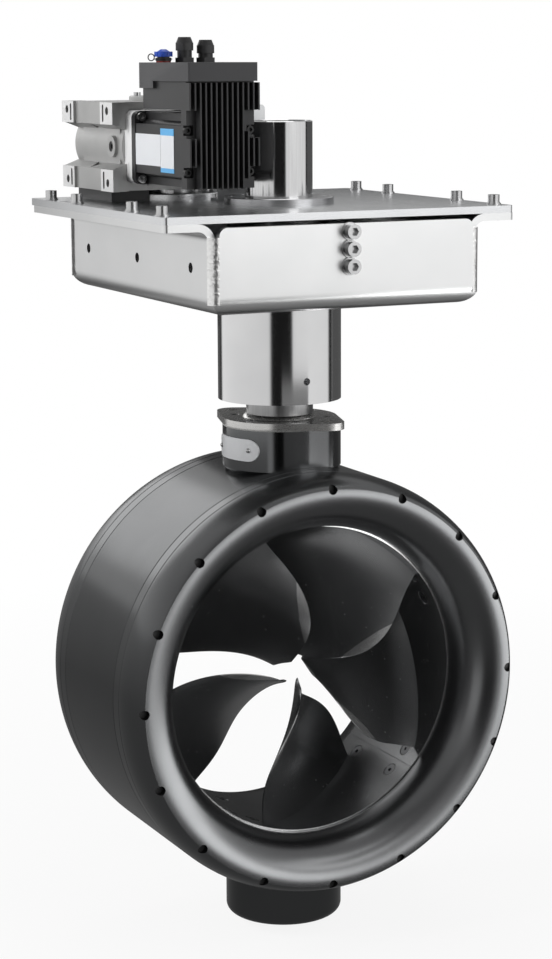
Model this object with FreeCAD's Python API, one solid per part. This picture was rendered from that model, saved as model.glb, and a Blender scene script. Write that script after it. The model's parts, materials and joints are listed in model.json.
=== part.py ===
import FreeCAD, Part
import math
import os

# Steerable pod drive: a rim driven propeller in a duct, hung under a hull tray by a hollow shaft.
# Millimetres. Origin on the steering axis at the cover plate's top face, +Z up, inflow from -Y.

V = FreeCAD.Vector
X_AXIS = V(1, 0, 0)
Y_AXIS = V(0, 1, 0)
Z_AXIS = V(0, 0, 1)

# Cover plate and mounting tray
plate_half_width = 208.8
plate_front = 161.0
plate_back = 235.0
plate_thickness = 8.0
plate_corner_radius = 5.0
sheet = 8.0
tray_half_width = 159.1
tray_front = 171.7
tray_back = 238.0
tray_bottom = 104.2
bend_radius = 20.0
lip_bend_radius = 12.0
corner_notch = 10.0
front_wall_gap = 4.0
front_wall_corner = 9.0

# Holes and screws in the plate, lips and walls
lip_hole_edge = 9.8
lip_hole_mid_y = 29.0
lip_hole_step = 81.7
hull_hole_step = 122.5
hull_hole_radius = 4.5
cover_screw_radius = 4.0
wall_hole_mid_y = 32.0
wall_hole_step = 147.0
wall_hole_z = 56.7
wall_hole_radius = 5.5
front_screw_radius = 5.0
front_screw_first_z = 20.3
front_screw_step = 18.5
hole_clearance = 0.5

# Steering shaft, its bearings and the column
shaft_radius = 38.05
shaft_wall = 5.0
shaft_top = 91.8
running_gap = 0.05
moving_gap = 0.5
seat_gap = 0.3
column_radius = 69.85
column_wall = 6.3
column_bottom = 219.1
bush_radius = 46.0
upper_holder_radius = 58.0
upper_holder_height = 22.0
lower_holder_height = 35.0
seal_height = 8.0
bearing_cap_radius = 61.8
bearing_cap_height = 8.0
cap_screw_count = 8
cap_screw_circle = 52.0
column_grub_radius = 4.0
column_grub_z = 193.3
thrust_collar_radius = 56.0
thrust_collar_height = 10.0
thrust_ring_height = 3.9

# Steering gear pair
gear_module = 3.0
gear_teeth = 84
pinion_teeth = 24
gear_width = 24.0
pinion_width = 28.0
gear_mid_z = -52.0
gear_backlash = 0.35
gear_hub_radius = 52.0
gear_hub_width = 32.0
pressure_angle = math.radians(20.0)
output_shaft_radius = 12.5

# Worm gearbox
wheel_x = -60.0
gearbox_half_length = 78.5
worm_offset = 50.0
foot_offset = 60.0
gearbox_half_height = 49.5
barrel_radius = 44.0
wheel_case_radius = 56.0
rail_depth = 18.0
pad_length = 37.0
pad_height = 24.5
pad_raise = 3.0
pad_hole_radius = 4.5
pad_slot_width = 4.6
pad_slot_length = 15.0
base_disc_radius = 53.0
base_disc_height = 8.0
base_screw_circle = 44.0
base_screw_radius = 3.0
gearbox_cover_height = 5.5

# Motor and its electronics
motor_z = 62.8
motor_width = 79.0
motor_front = -98.0
motor_flange_size = 80.8
motor_flange_back = 64.0
motor_flange_thickness = 10.0
adapter_thickness = 20.0
fin_count = 14
fin_pitch = 6.15
fin_thickness = 1.8
fin_depth = 12.0
rear_cover_depth = 26.0
electronics_floor = 106.2
electronics_top = 136.5
electronics_back = 23.4
lid_height = 19.6
lid_front = -101.0
lid_back = 35.0
lid_overhang = 3.6
lid_skirt = 8.0
lid_skirt_front = -5.5

# Pod: neck, duct, nozzles
flange_top = 240.5
flange_thickness = 8.0
flange_turn = -66.8
flange_hole_offset = 70.0
flange_end_radius = 19.5
flange_hole_radius = 5.5
flange_waist_radius = 65.0
neck_radius = 67.3
neck_skirt = 3.4
neck_chamfer = 9.0
pod_y = -4.0
neck_y = -5.0
duct_radius = 240.0
duct_wall = 14.0
duct_below_neck = 42.6
pod_cable_radius = 20.0
housing_half_length = 73.0
clamp_ring_width = 16.0
groove = 0.8
nozzle_half_length = 130.0
crest_drop = 14.0
throat_radius = 177.3
throat_length = 80.0
nozzle_bulge = 18.0
nozzle_reach = 42.1
nozzle_screw_count = 16
nozzle_screw_hole = 5.25
nozzle_screw_depth = 13.0
stub_drop = 54.9
stub_edge = 10.0

# Rim driven motor and propeller
ring_inner_radius = 175.5
ring_thickness = 7.5
ring_half_length = 76.0
hoop_thickness = 8.0
hoop_half_length = 70.0
magnet_thickness = 5.0
magnet_count = 20
magnet_gap = 0.8
active_half_length = 45.0
air_gap = 1.5
slot_count = 30
journal_width = 18.0
blade_count = 5
blade_phase = 55.0
joint_offset = 6.0
segment_gap = 0.5
blade_screw_radius = 4.0

# Places that follow from the sizes above
neck_top = -flange_top - flange_thickness
neck_height = duct_below_neck + neck_skirt
duct_z = neck_top - duct_below_neck - duct_radius
stub_bottom = duct_z - duct_radius - stub_drop
stator_outer_radius = duct_radius - duct_wall
crest_radius = duct_radius - crest_drop

MADE = {}


def save(name, shape):
    MADE[name] = shape
    shape.exportStep("parts/" + name + ".step")


def group(shapes):
    return Part.makeCompound(shapes)


def cylinder(radius, height, base, axis=Z_AXIS):
    return Part.makeCylinder(radius, height, base, axis)


def ring(outer, inner, height, base, axis=Z_AXIS):
    return cylinder(outer, height, base, axis).cut(cylinder(inner, height, base, axis))


def block(x0, x1, y0, y1, z0, z1):
    return Part.makeBox(x1 - x0, y1 - y0, z1 - z0, V(x0, y0, z0))


def polygon(points):
    return Part.Face(Part.makePolygon(points + [points[0]]))


def rounded_block(x0, x1, y0, y1, z0, z1, radius, axis):
    """A block whose four edges along one axis are rounded."""
    body = block(x0, x1, y0, y1, z0, z1)
    edges = [e for e in body.Edges if abs(e.tangentAt(e.FirstParameter).dot(axis)) > 0.99]
    return body.makeFillet(radius, edges)


def revolved(points, centre, axis, turn=360):
    return polygon(points).revolve(centre, axis, turn)


def around_z(radius, angle, z, x=0.0, y=0.0):
    a = math.radians(angle)
    return V(x + radius * math.cos(a), y + radius * math.sin(a), z)


def in_duct(radius, clock, y):
    """A point of the duct: clock angle from the top, clockwise as seen from the front."""
    a = math.radians(clock)
    return V(radius * math.sin(a), y, duct_z + radius * math.cos(a))


def socket_screw(base, axis, radius, head_height, shank):
    """A cap screw with its head's underside at base and its shank against the axis."""
    head = cylinder(1.6 * radius, head_height, base, axis)
    hexagon = Part.Face(Part.makePolygon(
        [base + axis * (0.45 * head_height) + p for p in hex_points(0.95 * radius, axis)]))
    head = head.cut(hexagon.extrude(axis * head_height))
    return head.fuse(cylinder(radius, shank, base - axis * shank, axis)).removeSplitter()


def hex_points(radius, axis):
    side = X_AXIS if abs(axis.dot(X_AXIS)) < 0.9 else Y_AXIS
    other = axis.cross(side)
    points = []
    for i in range(7):
        a = math.radians(60 * i)
        points.append(side * (radius * math.cos(a)) + other * (radius * math.sin(a)))
    return points


# Cover plate: flat plate with bores for the shaft and the pinion shaft
wheel_y = math.sqrt((gear_module * (gear_teeth + pinion_teeth) / 2) ** 2 - wheel_x ** 2)
gearbox_floor = motor_z - gearbox_half_height
lip_hole_rows = [lip_hole_mid_y + k * lip_hole_step for k in (-2, -1, 1, 2)]
hull_hole_rows = [lip_hole_mid_y + k * hull_hole_step for k in (-1, 0, 1)]
lip_hole_x = plate_half_width - lip_hole_edge
lip_sides = [-lip_hole_x, lip_hole_x]


def cover_plate():
    plate = rounded_block(-plate_half_width, plate_half_width, -plate_front, plate_back,
                          -plate_thickness, 0, plate_corner_radius, Z_AXIS)
    cuts = [cylinder(shaft_radius + 2.0, plate_thickness, V(0, 0, -plate_thickness))]
    cuts.append(cylinder(output_shaft_radius + 2.0, plate_thickness, V(wheel_x, wheel_y, -plate_thickness)))
    for x in lip_sides:
        for y in lip_hole_rows:
            cuts.append(cylinder(cover_screw_radius + hole_clearance, plate_thickness, V(x, y, -plate_thickness)))
        for y in hull_hole_rows:
            cuts.append(cylinder(hull_hole_radius, plate_thickness, V(x, y, -plate_thickness)))
    return plate.cut(group(cuts))


def tray_envelope(inset):
    """The tray's outline as a bath with rounded lower edges, shrunk on every wall by inset."""
    radius = bend_radius - inset
    half = tray_half_width - inset
    front = -tray_front + inset
    back = tray_back - inset
    floor = -tray_bottom + inset
    across = block(-half, half, front, back, floor, 0)
    lower = [e for e in across.Edges if e.BoundBox.ZMax < floor + 0.01]
    return across.makeFillet(radius, lower)


def lip_profile(side):
    """Section of one lip: up the wall's top, round the bend and out to the plate's edge."""
    wall_in = tray_half_width - sheet
    top = -plate_thickness
    low = top - sheet - lip_bend_radius
    outer = lip_bend_radius + sheet
    centre_x = tray_half_width + lip_bend_radius
    corner = math.sqrt(0.5)

    def at(x, z):
        return V(side * x, 0, z)
    edges = [
        Part.LineSegment(at(wall_in, low), at(tray_half_width, low)),
        Part.Arc(at(tray_half_width, low),
                 at(centre_x - lip_bend_radius * corner, low + lip_bend_radius * corner),
                 at(centre_x, low + lip_bend_radius)),
        Part.LineSegment(at(centre_x, low + lip_bend_radius), at(plate_half_width, low + lip_bend_radius)),
        Part.LineSegment(at(plate_half_width, low + lip_bend_radius), at(plate_half_width, top)),
        Part.LineSegment(at(plate_half_width, top), at(centre_x, top)),
        Part.Arc(at(centre_x, top), at(centre_x - outer * corner, low + outer * corner), at(wall_in, low)),
    ]
    return Part.Face(Part.Wire([e.toShape() for e in edges]))


def mounting_tray():
    side_front = -tray_front + corner_notch
    side_back = tray_back - corner_notch
    bend_top = -plate_thickness - sheet - lip_bend_radius
    wall_top = -plate_thickness - front_wall_gap
    shell = tray_envelope(0).cut(tray_envelope(sheet))
    # The long walls end where their lips begin, and the front and back walls stop under the plate
    wide = tray_half_width
    inner_x = tray_half_width - sheet
    cuts = [block(-wide, wide, -tray_front, tray_back, wall_top, 0)]
    for side in (-1, 1):
        x0, x1 = sorted((side * inner_x, side * wide))
        cuts.append(block(x0, x1, -tray_front, tray_back, bend_top, 0))
        for y0, y1 in ((-tray_front, side_front), (side_back, tray_back)):
            cuts.append(block(x0, x1, y0, y1, -tray_bottom + bend_radius * 0.6, 0))
    tray = shell.cut(group(cuts))
    for y, thick_from in ((-tray_front, 0), (tray_back - sheet, 0)):
        for side in (-1, 1):
            corner = V(side * inner_x, y, wall_top)
            square = block(min(corner.x, corner.x - side * front_wall_corner),
                           max(corner.x, corner.x - side * front_wall_corner),
                           y, y + sheet, wall_top - front_wall_corner, wall_top)
            round_off = cylinder(front_wall_corner, sheet,
                                 V(corner.x - side * front_wall_corner, y, wall_top - front_wall_corner), Y_AXIS)
            tray = tray.cut(square.cut(round_off))
    for side in (-1, 1):
        lip = lip_profile(side)
        lip.translate(V(0, side_front, 0))
        lip = lip.extrude(V(0, side_back - side_front, 0))
        outer_edges = [e for e in lip.Edges if abs(e.BoundBox.XMin - side * plate_half_width) < 0.01
                       and abs(e.BoundBox.XMax - side * plate_half_width) < 0.01 and e.BoundBox.ZLength > sheet - 0.01]
        tray = tray.fuse(lip.makeFillet(plate_corner_radius, outer_edges))
    holes = [cylinder(bush_radius, sheet * 2, V(0, 0, -tray_bottom - sheet / 2))]
    for x in lip_sides:
        for y in lip_hole_rows:
            holes.append(cylinder(cover_screw_radius, sheet, V(x, y, -plate_thickness - sheet)))
        for y in hull_hole_rows:
            holes.append(cylinder(hull_hole_radius, sheet, V(x, y, -plate_thickness - sheet)))
    for k in (-1, 0, 1):
        y = wall_hole_mid_y + k * wall_hole_step
        for x0 in (-tray_half_width, tray_half_width - sheet):
            holes.append(cylinder(wall_hole_radius, sheet, V(x0, y, -wall_hole_z), X_AXIS))
    for z in front_screw_rows():
        holes.append(cylinder(front_screw_radius + hole_clearance, sheet, V(0, -tray_front, z), Y_AXIS))
    return tray.cut(group(holes)).removeSplitter()


def front_screw_rows():
    return [-front_screw_first_z - k * front_screw_step for k in range(3)]


def corner_welds():
    """A convex bead of weld in each open corner of the tray, from the lip down to the bend."""
    beads = []
    top = -plate_thickness - sheet - lip_bend_radius * 0.5
    bottom = -tray_bottom + bend_radius * 0.6
    inner_x = tray_half_width - sheet
    for sx in (-1, 1):
        for y, sy in ((-tray_front + corner_notch, -1), (tray_back - corner_notch, 1)):
            round_bead = cylinder(corner_notch, top - bottom, V(sx * inner_x, y, bottom))
            x0, x1 = sorted((sx * inner_x, sx * (tray_half_width + corner_notch)))
            y0, y1 = sorted((y, y + sy * corner_notch))
            beads.append(round_bead.common(block(x0, x1, y0, y1, bottom, top)))
    return group(beads)


def stop_bar():
    """Bar behind the front wall that takes the three larger screws and stops the gear at its ends."""
    rows = front_screw_rows()
    face = -tray_front + sheet
    bar = block(-14, 14, face, face + 20, rows[2] - 12, rows[0] + 8)
    for z in rows:
        bar = bar.cut(cylinder(front_screw_radius, 20, V(0, face, z), Y_AXIS))
    return bar


def washer(base, axis, radius, outer, thickness):
    return ring(outer, radius, thickness, base, axis)


cover_washer_height = 2.6
front_washer_height = 2.2


def cover_screws():
    shank = plate_thickness + sheet + cover_washer_height - 1.0
    return group([socket_screw(V(x, y, cover_washer_height), Z_AXIS, cover_screw_radius, 8.0, shank)
                  for x in lip_sides for y in lip_hole_rows])


def front_wall_screws():
    base = -tray_front - front_washer_height
    return group([socket_screw(V(0, base, z), V(0, -1, 0), front_screw_radius, 10.0, front_washer_height + sheet + 15)
                  for z in front_screw_rows()])


def screw_washers():
    """A plain washer and a spring washer under each cover screw, one washer under each front screw."""
    rings = []
    for x in lip_sides:
        for y in lip_hole_rows:
            flat = washer(V(x, y, 0), Z_AXIS, cover_screw_radius + 0.2, 8.0, 1.4)
            spring = washer(V(x, y, 1.4), Z_AXIS, cover_screw_radius + 0.2, 6.9, cover_washer_height - 1.4)
            rings.append(flat.fuse(spring))
    for z in front_screw_rows():
        rings.append(washer(V(0, -tray_front, z), V(0, -1, 0), front_screw_radius + 0.2, 9.6, front_washer_height))
    return group(rings)


# Column and bearings: tube under the tray, holders, bushes, seal and thrust ring
column_inner = column_radius - column_wall
bore_radius = shaft_radius + running_gap
lower_holder_bottom = -column_bottom + 2.0
floor_top = -tray_bottom + sheet


def column_tube():
    height = column_bottom - tray_bottom
    tube = ring(column_radius, column_inner, height, V(0, 0, -column_bottom))
    grub = cylinder(column_grub_radius, 2 * column_wall, V(0, -column_radius - 1, -column_grub_z), Y_AXIS)
    return tube.cut(grub)


def lower_bearing_holder():
    holder = ring(column_inner, bush_radius, lower_holder_height, V(0, 0, lower_holder_bottom))
    return holder.cut(cylinder(column_grub_radius, 12, V(0, -column_inner, -column_grub_z), Y_AXIS))


def lower_bush():
    height = lower_holder_height - seal_height
    return ring(bush_radius, bore_radius, height, V(0, 0, lower_holder_bottom + seal_height))


def shaft_seal():
    return ring(bush_radius, shaft_radius + 2 * running_gap, seal_height, V(0, 0, lower_holder_bottom))


def upper_bearing_holder():
    return ring(upper_holder_radius, bush_radius, upper_holder_height,
                V(0, 0, -plate_thickness - upper_holder_height))


def upper_bush():
    return ring(bush_radius, bore_radius, upper_holder_height, V(0, 0, -plate_thickness - upper_holder_height))


def bearing_cap():
    cap = ring(bearing_cap_radius, shaft_radius + moving_gap, bearing_cap_height, V(0, 0, 0))
    outer = [e for e in cap.Edges if abs(e.BoundBox.XMax - bearing_cap_radius) < 0.01 and e.BoundBox.ZMin > 1]
    cap = cap.makeChamfer(0.8, outer)
    for k in range(cap_screw_count):
        p = around_z(cap_screw_circle, 360 / cap_screw_count * (k + 0.5), 0)
        cap = cap.cut(cylinder(2.5, bearing_cap_height, p))
        cap = cap.cut(Part.makeCone(2.5, 5.0, 3.0, p + V(0, 0, bearing_cap_height - 3.0)))
    return cap


def countersunk_screw(base, axis, radius, length):
    """A countersunk screw whose flat head ends at base."""
    head = Part.makeCone(radius, 2 * radius, radius, base - axis * radius, axis)
    screw = head.fuse(cylinder(radius, length, base - axis * length, axis))
    hexagon = Part.Face(Part.makePolygon([base - axis * radius + p for p in hex_points(0.9 * radius, axis)]))
    return screw.cut(hexagon.extrude(axis * (2 * radius)))


def bearing_cap_screws():
    screws = []
    for k in range(cap_screw_count):
        p = around_z(cap_screw_circle, 360 / cap_screw_count * (k + 0.5), bearing_cap_height - 0.2)
        screws.append(countersunk_screw(p, Z_AXIS, 2.4, bearing_cap_height - 0.4))
    return group(screws)


def thrust_ring():
    return ring(thrust_collar_radius, bush_radius - 4, thrust_ring_height, V(0, 0, floor_top))


# Steering gear pair: involute spur teeth, gear on the shaft, pinion under the gearbox
def involute(base_radius, radius, start):
    """Point of an involute from the base circle at angle start, at the given radius."""
    t = math.sqrt(max((radius / base_radius) ** 2 - 1, 0))
    a = start + t - math.atan(t)
    return radius, a


def gear_blank(teeth, width, z0, centre, turn):
    """Spur gear: each tooth has two involute flanks thinned by half the backlash."""
    pitch = gear_module * teeth / 2
    base = pitch * math.cos(pressure_angle)
    tip = pitch + gear_module
    root = pitch - 1.25 * gear_module
    inv = math.tan(pressure_angle) - pressure_angle
    half = math.pi / (2 * teeth) + inv - gear_backlash / (4 * pitch)
    start = max(base, root)
    radii = [start + (tip - start) * k / 2 for k in range(3)]
    points = []
    for tooth in range(teeth):
        mid = turn + 2 * math.pi * tooth / teeth
        left = []
        for r in radii:
            radius, a = involute(base, r, 0)
            left.append((radius, half - a))
        foot = left[0][1]
        flank = [(root, -foot)] if root < start - 0.01 else []
        for radius, a in flank + [(r, -a) for r, a in left] + left[::-1] + [(r, -a) for r, a in flank]:
            points.append(V(centre.x + radius * math.cos(mid + a), centre.y + radius * math.sin(mid + a), z0))
    return polygon(points).extrude(V(0, 0, width))


def steering_gear():
    turn = math.atan2(wheel_y, wheel_x)
    gear = gear_blank(gear_teeth, gear_width, gear_mid_z - gear_width / 2, V(0, 0, 0), turn)
    gear = gear.fuse(cylinder(gear_hub_radius, gear_hub_width, V(0, 0, gear_mid_z - gear_hub_width / 2)))
    # Five round windows lighten the web
    for k in range(5):
        gear = gear.cut(cylinder(22, gear_hub_width, around_z(86, 72 * k, gear_mid_z - gear_hub_width / 2)))
    return gear.cut(cylinder(shaft_radius, gear_hub_width, V(0, 0, gear_mid_z - gear_hub_width / 2)))


def pinion():
    turn = math.atan2(wheel_y, wheel_x) + math.pi + math.pi / pinion_teeth
    centre = V(wheel_x, wheel_y, 0)
    body = gear_blank(pinion_teeth, pinion_width, gear_mid_z - pinion_width / 2, centre, turn)
    return body.cut(cylinder(output_shaft_radius, pinion_width, V(wheel_x, wheel_y, gear_mid_z - pinion_width / 2)))


def output_shaft():
    bottom = gear_mid_z - pinion_width / 2 - 4
    top = motor_z
    shaft = cylinder(output_shaft_radius, top - bottom - 2, V(wheel_x, wheel_y, bottom))
    washer_end = cylinder(output_shaft_radius + 5, 4, V(wheel_x, wheel_y, bottom))
    return shaft.fuse(washer_end).removeSplitter()


# Gearbox: cast housing with worm barrel, wheel case, two rails with four pads, and flange
foot_x = wheel_x - worm_offset - foot_offset
worm_x = wheel_x - worm_offset
casting_back = wheel_y + gearbox_half_length
casting_front = wheel_y - gearbox_half_length
case_front = motor_flange_back + adapter_thickness
casting_top = motor_z + gearbox_half_height


def rail(sign):
    """Foot rail along the worm: flat outer face and a web that slopes in to the barrel."""
    deep = foot_x + rail_depth
    outer = motor_z + sign * gearbox_half_height
    inner = outer - sign * pad_height
    web = inner - sign * 8.0
    face = polygon([V(foot_x + pad_raise, 0, outer), V(foot_x + pad_raise, 0, inner), V(deep + 6, 0, web),
                    V(deep + 6, 0, outer)])
    face.translate(V(0, casting_front + 7, 0))
    body = face.extrude(V(0, 2 * gearbox_half_length - 7, 0))
    z0, z1 = sorted((outer, inner))
    for y0 in (casting_front, casting_back - pad_length):
        body = body.fuse(block(foot_x, foot_x + 8, y0, y0 + pad_length, z0, z1))
    z_in = inner + sign * pad_height * 0.5
    for y_end, inward in ((casting_front, 1), (casting_back, -1)):
        hole_y = y_end + inward * 16.5
        slot_y = y_end + inward * 28.5
        body = body.cut(cylinder(pad_hole_radius, 12, V(foot_x, hole_y, outer - sign * 9.5), X_AXIS))
        slot = block(foot_x, foot_x + 6, slot_y - pad_slot_width / 2, slot_y + pad_slot_width / 2,
                     z_in - pad_slot_length / 2, z_in + pad_slot_length / 2)
        for z_end in (-1, 1):
            slot = slot.fuse(cylinder(pad_slot_width / 2, 6, V(foot_x, slot_y, z_in + z_end * pad_slot_length / 2),
                                      X_AXIS))
        body = body.cut(slot)
    # A pocket in the middle of the web saves metal
    level = inner + sign * 3
    pocket = polygon([V(foot_x + 4, wheel_y, level), V(deep, wheel_y - 11, level), V(deep + 4, wheel_y, level),
                      V(deep, wheel_y + 11, level)])
    return body.cut(pocket.extrude(V(0, 0, -sign * 14)))


def gearbox_housing():
    mid = V(worm_x, case_front, motor_z)
    barrel = cylinder(barrel_radius, casting_back - case_front, mid, Y_AXIS)
    wheel_case = cylinder(wheel_case_radius, 2 * gearbox_half_height, V(wheel_x, wheel_y, gearbox_floor))
    web_box = block(foot_x + rail_depth, wheel_x, wheel_y - wheel_case_radius, wheel_y + wheel_case_radius,
                    gearbox_floor, casting_top)
    flange = rounded_block(worm_x - motor_flange_size / 2, worm_x + motor_flange_size / 2, case_front,
                           case_front + 9, motor_z - motor_flange_size / 2, motor_z + motor_flange_size / 2,
                           10, Y_AXIS)
    room = block(worm_x - motor_flange_size / 2 - 0.5, worm_x, casting_front, case_front, 0, casting_top)
    body = barrel.fuse([wheel_case, web_box, flange, rail(1).cut(room), rail(-1).cut(room)])
    front_lid = cylinder(barrel_radius - 8, 4, V(worm_x, casting_back, motor_z), Y_AXIS)
    body = body.fuse(front_lid)
    plug_x = worm_x - barrel_radius
    body = body.fuse(cylinder(12, 14, V(plug_x - 3, wheel_y - 41, motor_z), X_AXIS))
    body = body.cut(cylinder(6, 5, V(plug_x - 3, wheel_y - 41, motor_z), X_AXIS))
    bore = output_shaft_radius + running_gap
    body = body.cut(cylinder(bore, motor_z - gearbox_floor, V(wheel_x, wheel_y, gearbox_floor)))
    return body.removeSplitter()


def oil_plug():
    plug_x = worm_x - barrel_radius
    plug = cylinder(6, 4, V(plug_x - 2, wheel_y - 41, motor_z), X_AXIS)
    return plug.cut(cylinder(3, 2, V(plug_x - 2, wheel_y - 41, motor_z), X_AXIS))


def gearbox_cover():
    cover = cylinder(base_disc_radius, gearbox_cover_height, V(wheel_x, wheel_y, casting_top))
    edge = [e for e in cover.Edges if e.BoundBox.ZMin > casting_top + 1 and e.BoundBox.ZLength < 0.01]
    cover = cover.makeFillet(1.5, edge)
    cuts = [cylinder(2.5, gearbox_cover_height, p) for p in cover_screw_points(casting_top)]
    cuts.append(cylinder(18, 2, V(wheel_x, wheel_y, casting_top + gearbox_cover_height - 2)))
    return cover.cut(group(cuts))


def cover_screw_points(z):
    return [around_z(base_screw_circle, 60 * k + 30, z, wheel_x, wheel_y) for k in range(6)]


def gearbox_cover_screws():
    top = casting_top + gearbox_cover_height
    return group([socket_screw(p, Z_AXIS, 2.5, 4.0, gearbox_cover_height - 0.5) for p in cover_screw_points(top)])


def base_disc():
    """Round flange on the cover plate that carries the gearbox, with its raised spigot."""
    disc = cylinder(base_disc_radius, base_disc_height, V(wheel_x, wheel_y, 0))
    rim = [e for e in disc.Edges if e.BoundBox.ZMin > 1 and e.BoundBox.ZLength < 0.01]
    disc = disc.makeFillet(2.0, rim)
    disc = disc.fuse(cylinder(36, gearbox_floor, V(wheel_x, wheel_y, 0)))
    holes = [cylinder(base_screw_radius, base_disc_height, p) for p in base_screw_points(0)]
    holes.append(cylinder(output_shaft_radius + 2, gearbox_floor, V(wheel_x, wheel_y, 0)))
    return disc.cut(group(holes))


def base_screw_points(z):
    return [around_z(base_screw_circle, 45 * k + 12, z, wheel_x, wheel_y) for k in range(8)]


def hexagon_screw(base, radius, head_height, shank):
    head = Part.Face(Part.makePolygon([base + p for p in hex_points(1.85 * radius, Z_AXIS)]))
    return head.extrude(V(0, 0, head_height)).fuse(cylinder(radius, shank, base - V(0, 0, shank)))


def base_disc_screws():
    return group([hexagon_screw(p, base_screw_radius, 4.0, base_disc_height)
                  for p in base_screw_points(base_disc_height)])


def pedestal():
    """Block that carries the back of the gearbox on the cover plate."""
    body = block(worm_x - 42, wheel_x + 30, wheel_y - 28, plate_back - 9, 0, gearbox_floor)
    return body.cut(cylinder(base_disc_radius + 1, gearbox_floor, V(wheel_x, wheel_y, 0)))


# Motor: adapter, body, flange screws, finned rear cover, lid and what stands on it
flange_screw_offset = 34.0
cover_screw_spot = (36.6, 22.2)


def motor_adapter():
    half = motor_flange_size / 2
    plate = rounded_block(worm_x - half, worm_x + half, motor_flange_back, motor_flange_back + adapter_thickness,
                          motor_z - half, motor_z + half, 10, Y_AXIS)
    # Two narrow slits at the top and bottom of each side lighten the joint
    slit_y = motor_flange_back + adapter_thickness * 0.45
    for sx in (-1, 1):
        for sz in (-1, 1):
            z0, z1 = sorted((motor_z + sz * (half - 24), motor_z + sz * (half - 11)))
            x0, x1 = sorted((worm_x + sx * half, worm_x + sx * (half - 3)))
            plate = plate.cut(block(x0, x1, slit_y - 0.5, slit_y + 0.5, z0, z1))
    return plate


def motor_body():
    """Square motor with stepped corners that let the flange screws in."""
    half = motor_width / 2
    flange_half = motor_flange_size / 2
    front = motor_front + rear_cover_depth
    flange_front = motor_flange_back - motor_flange_thickness
    flat = 27.0
    step = 8.0
    core = half - step
    main = block(worm_x - half, worm_x + half, front, flange_front, motor_z - flat, motor_z + flat)
    tall = block(worm_x - flat, worm_x + flat, front, flange_front, motor_z - half, motor_z + half)
    centre = rounded_block(worm_x - core, worm_x + core, front, flange_front, motor_z - core, motor_z + core,
                           6, Y_AXIS)
    flange = rounded_block(worm_x - flange_half, worm_x + flange_half, flange_front, motor_flange_back,
                           motor_z - flange_half, motor_z + flange_half, 8, Y_AXIS)
    body = main.fuse([tall, centre, flange])
    for sx in (-1, 1):
        for sz in (-1, 1):
            spot = V(worm_x + sx * flange_screw_offset, flange_front, motor_z + sz * flange_screw_offset)
            body = body.cut(cylinder(3.2, motor_flange_thickness, spot, Y_AXIS))
    return body.removeSplitter()


def motor_flange_screws():
    base = motor_flange_back - motor_flange_thickness
    screws = []
    for sx in (-1, 1):
        for sz in (-1, 1):
            spot = V(worm_x + sx * flange_screw_offset, base, motor_z + sz * flange_screw_offset)
            screws.append(socket_screw(spot, V(0, -1, 0), 3.0, 6.0, motor_flange_thickness))
    return group(screws)


def finned_cover():
    """Cast rear cover: shallow case, box for the electronics above it, and a row of cooling fins."""
    half = motor_width / 2
    back = motor_front + rear_cover_depth
    root = motor_front + fin_depth
    low = motor_z - half
    case = block(worm_x - half, worm_x + half, root, back, low, electronics_floor)
    box = block(worm_x - half, worm_x + half, root, electronics_back, electronics_floor, electronics_top)
    body = case.fuse(box)
    for sx in (-1, 1):
        for sz in (-1, 1):
            x = worm_x + sx * cover_screw_spot[0]
            z = motor_z + sz * cover_screw_spot[1]
            pocket = block(x - 6, x + 6, root, root + 8, z - 5.5, z + 5.5)
            body = body.cut(pocket).cut(cylinder(2.5, back - root, V(x, root, z), Y_AXIS))
    fins = []
    first = worm_x - fin_pitch * (fin_count - 1) / 2
    for i in range(fin_count):
        x = first + i * fin_pitch
        if 2 <= i <= fin_count - 4:
            spans = [(low, electronics_top - 1.5)]
        elif i == fin_count - 3:
            spans = [(electronics_floor, electronics_top - 1.5), (motor_z - 29, motor_z + 21)]
        else:
            spans = [(electronics_floor, electronics_top - 1.5), (motor_z - 16, motor_z + 14)]
        for z0, z1 in spans:
            fins.append(block(x - fin_thickness / 2, x + fin_thickness / 2, motor_front, root, z0, z1))
    return body.fuse(fins).removeSplitter()


def rear_cover_screws():
    base = motor_front + fin_depth + 8
    return group([socket_screw(V(worm_x + sx * cover_screw_spot[0], base, motor_z + sz * cover_screw_spot[1]),
                               V(0, -1, 0), 2.5, 5.0, 5.0) for sx in (-1, 1) for sz in (-1, 1)])


def electronics_lid():
    """Moulded lid that steps down over the back of the box."""
    half = motor_width / 2
    x0 = worm_x - half - lid_overhang
    x1 = worm_x + half - 2.2
    top = electronics_top + lid_height
    lid = block(x0, x1, lid_front, lid_back, electronics_top, top)
    skirt = block(x0, x1, electronics_back + hole_clearance, lid_back, electronics_top - lid_skirt, electronics_top)
    side = block(x0, worm_x - half, lid_skirt_front, lid_back, electronics_top - lid_skirt, electronics_top)
    lid = lid.fuse([skirt, side]).removeSplitter()
    upright = [e for e in lid.Edges if e.BoundBox.ZLength > lid_height - 0.1 and e.BoundBox.YLength < 0.01]
    return lid.makeFillet(1.5, upright)


lid_top = electronics_top + lid_height
fitting_y = 0.0
fitting_x = [worm_x - 28.0, worm_x - 3.0, worm_x + 22.0]


def gland_bodies():
    bodies = []
    for x, lift in ((fitting_x[1], 3.0), (fitting_x[2], 0.0)):
        foot = V(x, fitting_y, lid_top)
        hexagon = Part.Face(Part.makePolygon([foot + p for p in hex_points(11.0, Z_AXIS)]))
        body = hexagon.extrude(V(0, 0, 5.0)).fuse(cylinder(8.0, 9.5 + lift, foot))
        bodies.append(body)
    return group(bodies)


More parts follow.
